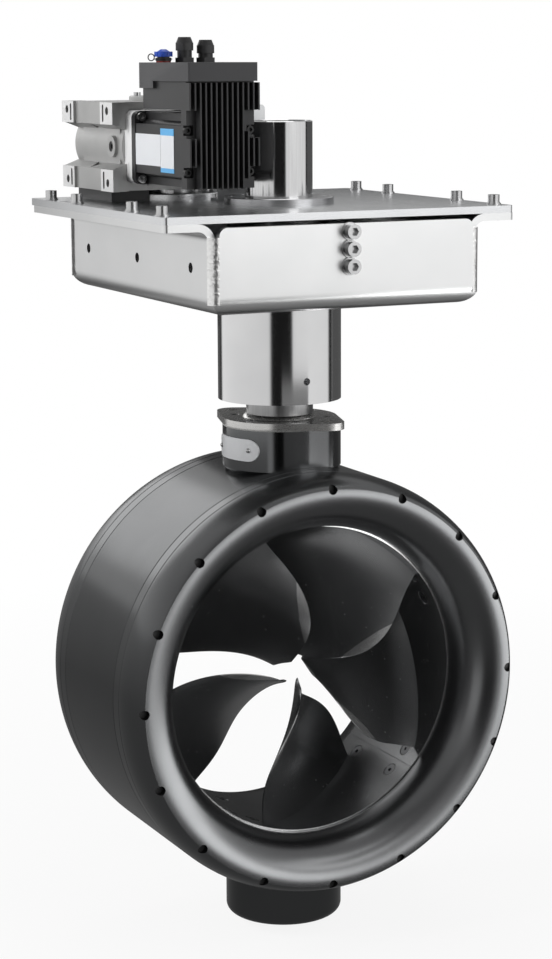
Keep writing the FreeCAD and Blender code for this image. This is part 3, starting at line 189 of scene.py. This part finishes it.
# Metal sees a dim floor round the unit and the room beyond it; the dimming near the unit is painted shadow
# that only reflections see.
painted_floor_shade = add_node(tree, "ShaderNodeMapRange",
                 {"From Min": 0.25, "From Max": 0.75, "To Min": 0.03, "To Max": 0.17},
                 {"Value": away.outputs["Value"]})
tree.links.new(painted_floor_shade.outputs[0], dim.inputs["Strength"])
rim = add_node(tree, "ShaderNodeMapRange", {"From Min": 1.1, "From Max": 1.8},
               {"Value": away.outputs["Value"]})
mirror = add_node(tree, "ShaderNodeMixShader",
                  links={0: rim.outputs[0], 1: dim.outputs[0], 2: room_through.outputs[0]})
gloss = add_node(tree, "ShaderNodeMixShader",
                 links={0: path.outputs["Is Glossy Ray"], 1: shadowed.outputs[0], 2: mirror.outputs[0]})
both = add_node(tree, "ShaderNodeMixShader",
                links={0: path.outputs["Is Camera Ray"], 1: gloss.outputs[0], 2: near.outputs[0]})
add_node(tree, "ShaderNodeOutputMaterial", links={"Surface": both.outputs[0]})
floor_mesh.materials.append(floor_paint)


def card(name, first, last, radius, low, high, strength):
    """An upright curved card that only reflections see; its angles run from the camera to the right."""
    mesh = bpy.data.meshes.new(name)
    shape = bmesh.new()
    start = math.radians(first) - camera_yaw - math.pi / 2
    ends = [shape.verts.new((radius * math.cos(start), radius * math.sin(start), z)) for z in (low, high)]
    edge = shape.edges.new(ends)
    bmesh.ops.spin(shape, geom=ends + [edge], cent=(0, 0, 0), axis=(0, 0, 1),
                   angle=math.radians(last - first), steps=40)
    shape.to_mesh(mesh)
    shape.free()
    obj = bpy.data.objects.new(name, mesh)
    bpy.context.scene.collection.objects.link(obj)
    for ray in ("camera", "diffuse", "transmission", "volume_scatter", "shadow"):
        setattr(obj, "visible_" + ray, False)
    paint = bpy.data.materials.new(name)
    paint.use_nodes = True
    paint.node_tree.nodes.clear()
    spot = add_node(paint.node_tree, "ShaderNodeTexCoord")
    level = add_node(paint.node_tree, "ShaderNodeSeparateXYZ", links={"Vector": spot.outputs["Object"]})
    fading = add_node(paint.node_tree, "ShaderNodeMapRange",
                      {"From Min": -0.62, "From Max": -0.35, "To Min": strength, "To Max": 2.2 * strength},
                      {"Value": level.outputs["Z"]})
    glow = add_node(paint.node_tree, "ShaderNodeEmission", {"Color": (1, 1, 1, 1)},
                    {"Strength": fading.outputs[0]})
    add_node(paint.node_tree, "ShaderNodeOutputMaterial", links={"Surface": glow.outputs[0]})
    mesh.materials.append(paint)


card("grey_card_left", -166.0, -25.0, 0.60, floor_level, -0.35, 0.17)
card("grey_strip_front", 4.0, 52.0, 0.64, -0.42, -0.27, 0.11)
card("black_card_behind", 112.0, 198.0, 0.62, floor_level, 0.13, 0.05)
card("black_card_behind_left", 194.0, 217.0, 0.59, floor_level, -0.20, 0.05)


# Mounting tray and cover plate: 8 mm stainless sheet, laser cut and bent, with a fine cold rolled face.
# The tray is one bent sheet with open corners; the plate lies on its two lips.
def new_material(name):
    """A material with one principled shader; returns it with its tree and shader."""
    material = bpy.data.materials.new(name)
    material.use_nodes = True
    return material, material.node_tree, material.node_tree.nodes["Principled BSDF"]


def object_space(tree, scale=(1, 1, 1)):
    """Object coordinates in millimetres, stretched by scale."""
    place = add_node(tree, "ShaderNodeTexCoord")
    return add_node(tree, "ShaderNodeMapping", {"Scale": tuple(1000 * s for s in scale)},
                    {"Vector": place.outputs["Object"]}).outputs[0]


def vary(tree, shader, socket, source, low, high):
    """Drives a shader input between two values by a 0 to 1 pattern."""
    span = add_node(tree, "ShaderNodeMapRange", {"To Min": low, "To Max": high}, {"Value": source})
    tree.links.new(span.outputs[0], shader.inputs[socket])


def bump(tree, shader, source, depth):
    """Raises the surface by depth millimetres times a 0 to 1 pattern."""
    raised = add_node(tree, "ShaderNodeBump", {"Strength": 1.0, "Distance": depth / 1000}, {"Height": source})
    tree.links.new(raised.outputs[0], shader.inputs["Normal"])


def tint(tree, shader, source, first, second):
    """Mixes two sRGB hex colours by a 0 to 1 pattern into the base colour."""
    mixed = add_node(tree, "ShaderNodeMixRGB", {1: colour(first), 2: colour(second)}, {0: source})
    tree.links.new(mixed.outputs[0], shader.inputs["Base Color"])


def stainless(name, first, second, rough_low, rough_high, grain, depth):
    """Stainless steel whose grain, in millimetres along X, Y and Z, sets the brushing direction."""
    material, tree, shader = new_material(name)
    shader.inputs["Metallic"].default_value = 1.0
    across = object_space(tree, tuple(1 / g for g in grain))
    lines = add_node(tree, "ShaderNodeTexNoise", {"Scale": 1.0, "Detail": 3.0, "Roughness": 0.6},
                     {"Vector": across})
    clouds = add_node(tree, "ShaderNodeTexNoise", {"Scale": 1.0, "Detail": 2.0},
                      {"Vector": object_space(tree, (1 / 60, 1 / 60, 1 / 60))})
    tint(tree, shader, clouds.outputs["Fac"], first, second)
    vary(tree, shader, "Roughness", lines.outputs["Fac"], rough_low, rough_high)
    bump(tree, shader, lines.outputs["Fac"], depth)
    return material


def shaped(node, name, material, smooth=30.0):
    """A finished copy of a CAD node: merged, with its curves shaded smooth and its edges kept."""
    mesh = nodes[node].data.copy()
    mesh.name = name
    shape = bmesh.new()
    shape.from_mesh(mesh)
    bmesh.ops.remove_doubles(shape, verts=shape.verts, dist=2e-6)
    for face in shape.faces:
        face.smooth = True
    shape.normal_update()
    for e in shape.edges:
        e.smooth = len(e.link_faces) == 2 and e.calc_face_angle(0) < math.radians(smooth)
    shape.to_mesh(mesh)
    shape.free()
    mesh.materials.clear()
    mesh.materials.append(material)
    piece = bpy.data.objects.new(name, mesh)
    bpy.context.scene.collection.objects.link(piece)
    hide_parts(node)
    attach(piece, body_of_node[node])
    return piece


bodies = frame["record"]["behaviour"]["bodies"]
body_of_node = {node: body for body, members in bodies.items() for node in members}
sheet_steel = stainless("cold rolled stainless sheet", "#E4E4E4", "#D9DADA", 0.27, 0.35,
                        (3.0, 3.0, 0.25), 0.003)
plate_steel = stainless("brushed stainless plate", "#DEDFE0", "#D0D1D3", 0.20, 0.34,
                        (40.0, 0.25, 0.25), 0.002)
shaped("mounting_tray", "bent_tray", sheet_steel)
shaped("cover_plate", "cover_plate_sheet", plate_steel)
bracket_steel = stainless("sheared bracket sheet", "#C4C5C6", "#B3B4B5", 0.34, 0.44,
                          (3.0, 3.0, 0.25), 0.003)
shaped("bracket", "bracket_sheet", bracket_steel)

# Weld beads: hand laid TIG weld in the tray's open corners, left bright.
# The puddle leaves uneven ripples a few millimetres apart.
weld_metal, tree, shader = new_material("rippled weld bead")
shader.inputs["Metallic"].default_value = 1.0
shader.inputs["Roughness"].default_value = 0.30
ripples = add_node(tree, "ShaderNodeTexNoise", {"Scale": 1.0, "Detail": 1.0, "Distortion": 0.8},
                   {"Vector": object_space(tree, (1 / 5, 1 / 5, 1 / 4))})
tint(tree, shader, ripples.outputs["Fac"], "#F4F4F3", "#D2D2D1")
bump(tree, shader, ripples.outputs["Fac"], 0.7)
shaped("corner_welds", "corner_weld_beads", weld_metal)

# Column tube and steering shaft: drawn stainless tube, ground round its girth. It mirrors the studio in
# sharp upright bands; the shaft's foot is left as drawn, greyer and duller.
polished = stainless("ground stainless tube", "#D6D6D6", "#C6C6C7", 0.07, 0.16, (30.0, 30.0, 0.22), 0.002)
shaped("column_tube", "column", polished)
shaft_steel, tree, shader = new_material("shaft polished above its flange only")
shader.inputs["Metallic"].default_value = 1.0
up_shaft = add_node(tree, "ShaderNodeSeparateXYZ", links={"Vector": object_space(tree)})
dull_below = -232.0
polished_above = -150.0
ground = add_node(tree, "ShaderNodeMapRange", {"From Min": dull_below, "From Max": polished_above},
                  {"Value": up_shaft.outputs["Z"]})
streaks = add_node(tree, "ShaderNodeTexNoise", {"Scale": 1.0, "Detail": 3.0},
                   {"Vector": object_space(tree, (1 / 2.2, 1 / 2.2, 1 / 90))})
upper_tone = add_node(tree, "ShaderNodeMixRGB", {1: colour("#DADADA"), 2: colour("#BDBDBE")},
                      {0: streaks.outputs["Fac"]})
lower_tone = add_node(tree, "ShaderNodeMixRGB", {1: colour("#A8A8A8"), 2: colour("#858586")},
                      {0: streaks.outputs["Fac"]})
whole_tone = add_node(tree, "ShaderNodeMixRGB",
                      links={0: ground.outputs[0], 1: lower_tone.outputs[0], 2: upper_tone.outputs[0]})
tree.links.new(whole_tone.outputs[0], shader.inputs["Base Color"])
vary(tree, shader, "Roughness", ground.outputs[0], 0.30, 0.11)
bump(tree, shader, streaks.outputs["Fac"], 0.004)
shaped("steering_shaft", "hollow_steering_shaft", shaft_steel)

# Turned steel: bearing cap, holders, thrust collar, stop bar, hoop and the gearbox output shaft.
# A fine tool feed leaves rings that catch the light, drawn here at 0.3 mm.
turned_steel = stainless("turned steel", "#BDBDBE", "#A9AAAC", 0.18, 0.30, (8.0, 8.0, 0.3), 0.004)
for node, name in (("bearing_cap", "bearing_cap_ring"), ("upper_bearing_holder", "upper_bearing_seat"),
                   ("lower_bearing_holder", "lower_bearing_seat"), ("thrust_collar", "collar_on_shaft"),
                   ("stop_bar", "threaded_stop_bar"), ("rotor_hoop", "rotor_yoke"),
                   ("output_shaft", "gearbox_output")):
    shaped(node, name, turned_steel)

# Shaft flange: laser cut stainless with two ears, welded to the tube's foot.
# Its face is milled flat, which leaves it bright with a faint cloudy grain.
flange_steel = stainless("cut stainless flange", "#E0DFDD", "#C6C5C3", 0.22, 0.34, (6.0, 6.0, 1.5), 0.004)
shaped("shaft_flange", "oval_shaft_flange", flange_steel)

# Gears: case hardened steel with hobbed teeth, keyed on the shafts and left bare.
# Hardening leaves them darker and duller than the turned pieces.
gear_steel = stainless("hobbed gear steel", "#8E8F92", "#77787B", 0.28, 0.42, (6.0, 6.0, 0.3), 0.004)
shaped("steering_gear", "steering_gear_wheel", gear_steel)
shaped("pinion", "pinion_gear", gear_steel)

# Screws, washers and rivets: cold headed stainless cap screws with plain washers, bright.
# The blade screws are duller, and the rear cover's screws are black oxide steel.
screw_steel = stainless("bright stainless screw", "#CFCFCF", "#B2B2B3", 0.18, 0.30, (0.8, 0.8, 3.0), 0.01)
for node in ("cover_screws", "front_wall_screws", "screw_washers", "bearing_cap_screws", "base_disc_screws",
             "shaft_flange_screws", "nameplate_rivets"):
    shaped(node, node + "_bright", screw_steel)
sunk_steel = stainless("dull countersunk screw", "#8A8B8C", "#77787A", 0.32, 0.42, (0.8, 0.8, 3.0), 0.01)
shaped("blade_screws", "blade_screws_dull", sunk_steel)
black_oxide = stainless("black oxide screw", "#3A3A3A", "#2C2C2C", 0.35, 0.45, (0.8, 0.8, 3.0), 0.01)
rear_screws_from = -0.060
for name, paint, rear in (("drive_screws_bright", screw_steel, False),
                          ("rear_cover_screws_black", black_oxide, True)):
    piece = shaped("drive_screws", name, paint)
    shape = bmesh.new()
    shape.from_mesh(piece.data)
    others = [f for f in shape.faces if (f.calc_center_median().y < rear_screws_from) != rear]
    bmesh.ops.delete(shape, geom=others, context="FACES")
    shape.to_mesh(piece.data)
    shape.free()

# Bushes and thrust ring: turned bearing bronze, pressed into the holders.
# A fine tool feed leaves a warm satin face.
bronze = stainless("turned bronze", "#B08D4C", "#96753A", 0.25, 0.38, (6.0, 6.0, 0.3), 0.004)
shaped("shaft_bushes", "bronze_bushes", bronze)
shaped("thrust_ring", "bronze_thrust_ring", bronze)


# Rubber and moulded plastic: seal, leash, lid, glands, socket and cap, with a fine moulded grain.
# In the photograph the electronics box reaches further back than its CAD node, and its lid a little
# less far, so both backs move.
def moulded(name, code, worn, rough, grain, depth, metallic=0.0):
    """A plastic, rubber or paint with grain in millimetres and a faint change of tone."""
    material, tree, shader = new_material(name)
    shader.inputs["Metallic"].default_value = metallic
    fine = add_node(tree, "ShaderNodeTexNoise", {"Scale": 1.0, "Detail": 3.0},
                    {"Vector": object_space(tree, (1 / grain, 1 / grain, 1 / grain))})
    clouds = add_node(tree, "ShaderNodeTexNoise", {"Scale": 1.0, "Detail": 2.0},
                      {"Vector": object_space(tree, (1 / 45, 1 / 45, 1 / 45))})
    tint(tree, shader, clouds.outputs["Fac"], code, worn)
    vary(tree, shader, "Roughness", fine.outputs["Fac"], rough - 0.05, rough + 0.05)
    bump(tree, shader, fine.outputs["Fac"], depth)
    return material


seal_rubber = moulded("nitrile rubber", "#141414", "#1B1B1B", 0.65, 0.6, 0.02)
black_plastic = moulded("black glass filled nylon", "#262627", "#2C2C2D", 0.48, 0.5, 0.03)
lid_plastic = moulded("powder coated lid", "#38383A", "#3E3E40", 0.55, 0.5, 0.04)
red_rubber = moulded("red silicone seal", "#8E2A22", "#7A221C", 0.5, 0.6, 0.02)
blue_plastic = moulded("blue moulded cap", "#2E57C4", "#264AAE", 0.35, 0.8, 0.01)
shaped("shaft_seal", "lip_seal", seal_rubber)
shaped("cap_leash", "rubber_leash", seal_rubber)
shaped("cable_glands", "nylon_glands", black_plastic)
shaped("socket_body", "round_socket", black_plastic)
shaped("socket_seal", "red_socket_seal", red_rubber)
shaped("socket_cap", "blue_socket_cap", blue_plastic)
lid = shaped("electronics_lid", "electronics_box_lid", lid_plastic)
box_back = 0.0310
lid_overhang = 0.0022
skirt_gap = 0.0003
lid_back_from = 0.034
box_back_from = 0.022
for vertex in lid.data.vertices:
    if vertex.co.y > lid_back_from:
        vertex.co.y = box_back + lid_overhang
    elif vertex.co.y > box_back_from:
        vertex.co.y = box_back + skirt_gap

# Gearbox: die cast aluminium housing, bead blasted, on a turned base disc, with a pale adapter plate.
# Blasting gives an even grey grain; the pads of its feet are milled and lighter.
cast_metal = moulded("blasted die cast aluminium", "#B8B8B7", "#A2A2A1", 0.42, 0.8, 0.08, 0.6)
milled_face = moulded("gearbox with milled pads", "#B8B8B7", "#A2A2A1", 0.42, 0.8, 0.08, 0.6)
tree = milled_face.node_tree
shader = tree.nodes["Principled BSDF"]
pad_side = add_node(tree, "ShaderNodeSeparateXYZ", links={"Vector": object_space(tree)})
pad_face = -169.9
milled = add_node(tree, "ShaderNodeMath", {"operation": "LESS_THAN", 1: pad_face}, {0: pad_side.outputs["X"]})
cast_tone = shader.inputs["Base Color"].links[0].from_socket
with_pads = add_node(tree, "ShaderNodeMixRGB", {2: colour("#E6E6E6")}, {0: milled.outputs[0], 1: cast_tone})
tree.links.new(with_pads.outputs[0], shader.inputs["Base Color"])
machined = stainless("milled aluminium", "#E2E2E3", "#D2D3D4", 0.22, 0.34, (4.0, 4.0, 0.4), 0.004)
shaped("gearbox_housing", "worm_gearbox_casting", milled_face)
shaped("gearbox_cover", "gearbox_round_cover", cast_metal)
shaped("base_disc", "gearbox_base_disc", machined)
adapter_white = moulded("blasted adapter plate", "#F2F2F2", "#EAEAEA", 0.40, 0.5, 0.02, 0.1)
shaped("motor_adapter", "adapter_flange", adapter_white)
shaped("oil_plug", "oil_filler_plug", black_plastic)

# Motor: black anodised square body with a die cast rear cover, whose fins cool the electronics.
# Both are dull black with a fine cast grain.
motor_black = moulded("black anodised motor body", "#2A2A2B", "#313132", 0.42, 0.6, 0.03, 0.35)
fin_black = moulded("black die cast fins", "#2B2B2C", "#333334", 0.45, 0.6, 0.04, 0.3)
shaped("motor_body", "square_motor_body", motor_black)
rear_cover = shaped("finned_cover", "finned_rear_cover", fin_black)
for vertex in rear_cover.data.vertices:
    if vertex.co.y > box_back_from:
        vertex.co.y = box_back
shaped("gearbox_pedestal", "gearbox_pedestal_block", motor_black)

# Labels and nameplate: bare white film stuck on the motor, with two plain blue bands, and a bare
# enamelled plate riveted to the neck.
film = moulded("bare white label film", "#E9EBEE", "#E2E5E9", 0.4, 1.0, 0.005)
tree = film.node_tree
shader = tree.nodes["Principled BSDF"]
side_label_back = -16.3
header_low = 78.6
footer_high = 43.6
on_label = add_node(tree, "ShaderNodeSeparateXYZ", links={"Vector": object_space(tree)})
in_column = add_node(tree, "ShaderNodeMath", {"operation": "LESS_THAN", 1: side_label_back},
                     {0: on_label.outputs["Y"]})
header = add_node(tree, "ShaderNodeMath", {"operation": "GREATER_THAN", 1: header_low},
                  {0: on_label.outputs["Z"]})
footer = add_node(tree, "ShaderNodeMath", {"operation": "LESS_THAN", 1: footer_high},
                  {0: on_label.outputs["Z"]})
bands_on = add_node(tree, "ShaderNodeMath", {"operation": "MAXIMUM"},
                    {0: header.outputs[0], 1: footer.outputs[0]})
blue_on = add_node(tree, "ShaderNodeMath", {"operation": "MULTIPLY"},
                   {0: in_column.outputs[0], 1: bands_on.outputs[0]})
film_tone = shader.inputs["Base Color"].links[0].from_socket
printed = add_node(tree, "ShaderNodeMixRGB", {2: colour("#5FB0E6")}, {0: blue_on.outputs[0], 1: film_tone})
tree.links.new(printed.outputs[0], shader.inputs["Base Color"])
shaped("labels", "bare_labels", film)
plate_enamel = moulded("bare grey nameplate", "#CDCED0", "#C2C3C5", 0.35, 0.6, 0.01, 0.25)
shaped("nameplate", "bare_nameplate", plate_enamel)

# Pod: turned aluminium shells, hard anodised black with a satin gloss that still mirrors the studio.
# Housing, clamp rings and nozzles are turned round the duct's axis; the nozzles have sixteen counterbores on
# their crest for black cap screws, whose near black also carries painted shade of the counterbores.
def anodised(name, first, second, rough_low, rough_high):
    """Black anodised aluminium: a dark metal with fine turning marks and cloudy gloss."""
    material, tree, shader = new_material(name)
    shader.inputs["Metallic"].default_value = 1.0
    clouds = add_node(tree, "ShaderNodeTexNoise", {"Scale": 1.0, "Detail": 3.0},
                      {"Vector": object_space(tree, (1 / 70, 1 / 70, 1 / 70))})
    fine = add_node(tree, "ShaderNodeTexNoise", {"Scale": 1.0, "Detail": 2.0},
                    {"Vector": object_space(tree, (1 / 0.7, 1 / 0.7, 1 / 0.7))})
    tint(tree, shader, clouds.outputs["Fac"], first, second)
    vary(tree, shader, "Roughness", clouds.outputs["Fac"], rough_low, rough_high)
    bump(tree, shader, fine.outputs["Fac"], 0.003)
    return material


duct_z = -0.5311
pod_y = -0.004
duct_radius = 0.240
crest_radius = 0.226
throat_radius = 0.1773
throat_half = 0.080
mouth_root = 0.077
housing_wall = 0.014
housing_half = 0.073
ring_width = 0.016
crest_half = 0.130
shell_edge = 0.0007
seam = 0.0008
bulge = 0.018
spigot_radius = 0.220
recess_radius = 0.00525
recess_depth = 0.013
recess_count = 16


def turned_mesh(name, profile, steps):
    """A closed profile of (radius, distance from mid duct) spun round the duct's axis."""
    mesh = bpy.data.meshes.new(name)
    shape = bmesh.new()
    loop = [shape.verts.new((0, pod_y + y, duct_z + r)) for r, y in profile]
    edges = [shape.edges.new((a, b)) for a, b in zip(loop, loop[1:] + loop[:1])]
    bmesh.ops.spin(shape, geom=loop + edges, cent=(0, pod_y, duct_z), axis=(0, 1, 0), angle=2 * math.pi,
                   steps=steps, use_merge=True)
    bmesh.ops.recalc_face_normals(shape, faces=shape.faces)
    shape.to_mesh(mesh)
    shape.free()
    return mesh


def soften(mesh, angle):
    """Shades a mesh smooth but keeps edges sharper than the angle."""
    shape = bmesh.new()
    shape.from_mesh(mesh)
    for face in shape.faces:
        face.smooth = True
    shape.normal_update()
    for e in shape.edges:
        e.smooth = len(e.link_faces) == 2 and e.calc_face_angle(0) < math.radians(angle)
    shape.to_mesh(mesh)
    shape.free()


def placed(name, mesh, material, *stands_for):
    """A piece made here that stands for CAD nodes of one body."""
    mesh.materials.clear()
    mesh.materials.append(material)
    piece = bpy.data.objects.new(name, mesh)
    bpy.context.scene.collection.objects.link(piece)
    for node in stands_for:
        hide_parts(node)
    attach(piece, body_of_node[stands_for[0]])
    return piece


def cut_away(mesh, cutter_mesh):
    """The mesh with the cutter's volume taken away."""
    block = bpy.data.objects.new("being_cut", mesh)
    cutter = bpy.data.objects.new("cutter", cutter_mesh)
    for obj in (block, cutter):
        bpy.context.scene.collection.objects.link(obj)
    knife = block.modifiers.new("cut", "BOOLEAN")
    knife.operation = "DIFFERENCE"
    knife.solver = "EXACT"
    knife.object = cutter
    bpy.context.view_layer.update()
    result = bpy.data.meshes.new_from_object(block.evaluated_get(bpy.context.evaluated_depsgraph_get()))
    for obj in (block, cutter):
        bpy.data.objects.remove(obj)
    return result


def crest_cutters(side):
    """Sixteen upright drills at the crest of one nozzle."""
    mesh = bpy.data.meshes.new("drills")
    shape = bmesh.new()
    depth = 2 * recess_depth
    for k in range(recess_count):
        angle = 2 * math.pi / recess_count * k
        spot = Vector((crest_radius * math.sin(angle), pod_y + side * crest_half,
                       duct_z + crest_radius * math.cos(angle)))
        lying = Matrix.Translation(spot) @ Matrix.Rotation(math.pi / 2, 4, "X")
        bmesh.ops.create_cone(shape, cap_ends=True, segments=32, radius1=recess_radius, radius2=recess_radius,
                              depth=depth, matrix=lying)
    shape.to_mesh(mesh)
    shape.free()
    return mesh


def nozzle_profile(side):
    """Convex outer face, sharp crest and elliptical bell mouth down to the throat."""
    edge = housing_half + ring_width
    end_angle = math.acos((bulge - (duct_radius - crest_radius)) / bulge)
    reach = (crest_half - edge) / math.sin(end_angle)
    points = []
    for k in range(25):
        t = end_angle * k / 24
        points.append((duct_radius - bulge + bulge * math.cos(t), edge + reach * math.sin(t)))
    for k in range(1, 49):
        t = math.pi / 2 * (1 - k / 48)
        points.append((crest_radius - (crest_radius - throat_radius) * math.cos(t),
                       throat_half + (crest_half - throat_half) * math.sin(t)))
    points += [(throat_radius, mouth_root), (spigot_radius, mouth_root), (spigot_radius, edge)]
    points[0] = (duct_radius - shell_edge, edge)
    points.insert(1, (duct_radius - 0.00008, edge + shell_edge))
    return [(r, side * y) for r, y in points]


pod_black = anodised("hard anodised black shell", "#666768", "#5E5F60", 0.12, 0.18)
nozzle_black = anodised("blasted and anodised nozzle", "#767778", "#6E6F70", 0.23, 0.29)
housing_black = anodised("anodised housing", "#68696A", "#606162", 0.20, 0.25)
pod_grey = anodised("anodised clamp ring", "#737475", "#6A6B6C", 0.18, 0.24)
# Near black screws: their own black oxide plus painted shade of the counterbores they sit in.
screws_with_recess_shade = moulded("black screws with painted recess shade", "#0C0C0C", "#151515", 0.5, 0.6, 0.02)

for side, node in ((-1, "front_nozzle"), (1, "rear_nozzle")):
    drilled = cut_away(turned_mesh(node, nozzle_profile(side), 256), crest_cutters(side))
    soften(drilled, 24)
    placed(node + "_shell", drilled, nozzle_black, node)

shell_half = housing_half - seam
housing_profile = [(duct_radius - seam, -housing_half), (duct_radius - seam, -shell_half - shell_edge / 2),
                   (duct_radius - shell_edge / 2, -shell_half), (duct_radius, -shell_half + shell_edge / 2),
                   (duct_radius, shell_half - shell_edge / 2), (duct_radius - shell_edge / 2, shell_half),
                   (duct_radius - seam, shell_half + shell_edge / 2), (duct_radius - seam, housing_half),
                   (duct_radius - housing_wall, housing_half), (duct_radius - housing_wall, -housing_half)]
housing_mesh = turned_mesh("housing", housing_profile, 256)
soften(housing_mesh, 24)
placed("rim_motor_housing", housing_mesh, housing_black, "stator_housing")

both_rings = bmesh.new()
for side in (-1, 1):
    near = housing_half
    far = housing_half + ring_width
    ring_profile = [(duct_radius - shell_edge, near), (duct_radius, near + shell_edge),
                    (duct_radius, far - seam - shell_edge / 2), (duct_radius - shell_edge / 2, far - seam),
                    (duct_radius - seam, far - seam + shell_edge / 2), (duct_radius - seam, far),
                    (spigot_radius, far), (spigot_radius, near)]
    ring_mesh = turned_mesh("ring", [(r, side * y) for r, y in ring_profile], 256)
    both_rings.from_mesh(ring_mesh)
rings_mesh = bpy.data.meshes.new("clamp_rings")
both_rings.to_mesh(rings_mesh)
both_rings.free()
soften(rings_mesh, 24)
placed("nozzle_clamp_rings", rings_mesh, pod_grey, "clamp_rings")

shaped("pod_neck", "pod_neck_shell", pod_black)
shaped("bottom_stub", "lower_plug", pod_black)
shaped("bearing_rings", "rotor_bearing_rings", pod_grey)
# The nozzle screws carry painted recess shade in their near black colour.
shaped("nozzle_screws", "black_nozzle_screws", screws_with_recess_shade)

# Rim motor: stamped core, resin cast windings and nickel plated magnets, all sealed inside the pod.
# None of it is in view on the finished unit.
lamination = stainless("stamped laminations", "#5B5C5F", "#4A4B4E", 0.4, 0.55, (20.0, 0.5, 20.0), 0.02)
resin = moulded("copper in resin", "#7A4426", "#69391F", 0.35, 1.2, 0.05)
magnet_plate = stainless("nickel plated magnet", "#8D8C88", "#7B7A77", 0.3, 0.45, (3.0, 3.0, 3.0), 0.004)
shaped("stator_core", "laminated_stator", lamination)
shaped("stator_windings", "resin_cast_windings", resin)
shaped("rotor_magnets", "rotor_magnets_plated", magnet_plate)

# Blades: carbon composite with a smooth black gel coat, each moulded with its own segment of the ring.
# The segments' end faces get a painted highlight: a light grey band that stands in for the thin bright line
# the light draws there.
gel_coat = moulded("black gel coat", "#8E8F90", "#808182", 0.25, 3.0, 0.004, 0.9)
tree = gel_coat.node_tree
shader = tree.nodes["Principled BSDF"]
along_duct = add_node(tree, "ShaderNodeSeparateXYZ", links={"Vector": object_space(tree)})
past_middle = add_node(tree, "ShaderNodeMath", {"operation": "SUBTRACT", 1: 1000 * pod_y},
                       {0: along_duct.outputs["Y"]})
from_middle = add_node(tree, "ShaderNodeMath", {"operation": "ABSOLUTE"}, {0: past_middle.outputs[0]})
# Painted highlight: faces further than this from the duct's middle are tinted light grey.
highlight_band_from = 75.9
highlight_band_mask = add_node(tree, "ShaderNodeMath", {"operation": "GREATER_THAN", 1: highlight_band_from},
                    {0: from_middle.outputs[0]})
coat_tone = shader.inputs["Base Color"].links[0].from_socket
painted_edge_highlight = add_node(tree, "ShaderNodeMixRGB", {2: colour("#D0D0D0")}, {0: highlight_band_mask.outputs[0], 1: coat_tone})
tree.links.new(painted_edge_highlight.outputs[0], shader.inputs["Base Color"])
for number in range(1, 6):
    shaped("blade_%d" % number, "blade_%d_with_segment" % number, gel_coat, smooth=38.0)
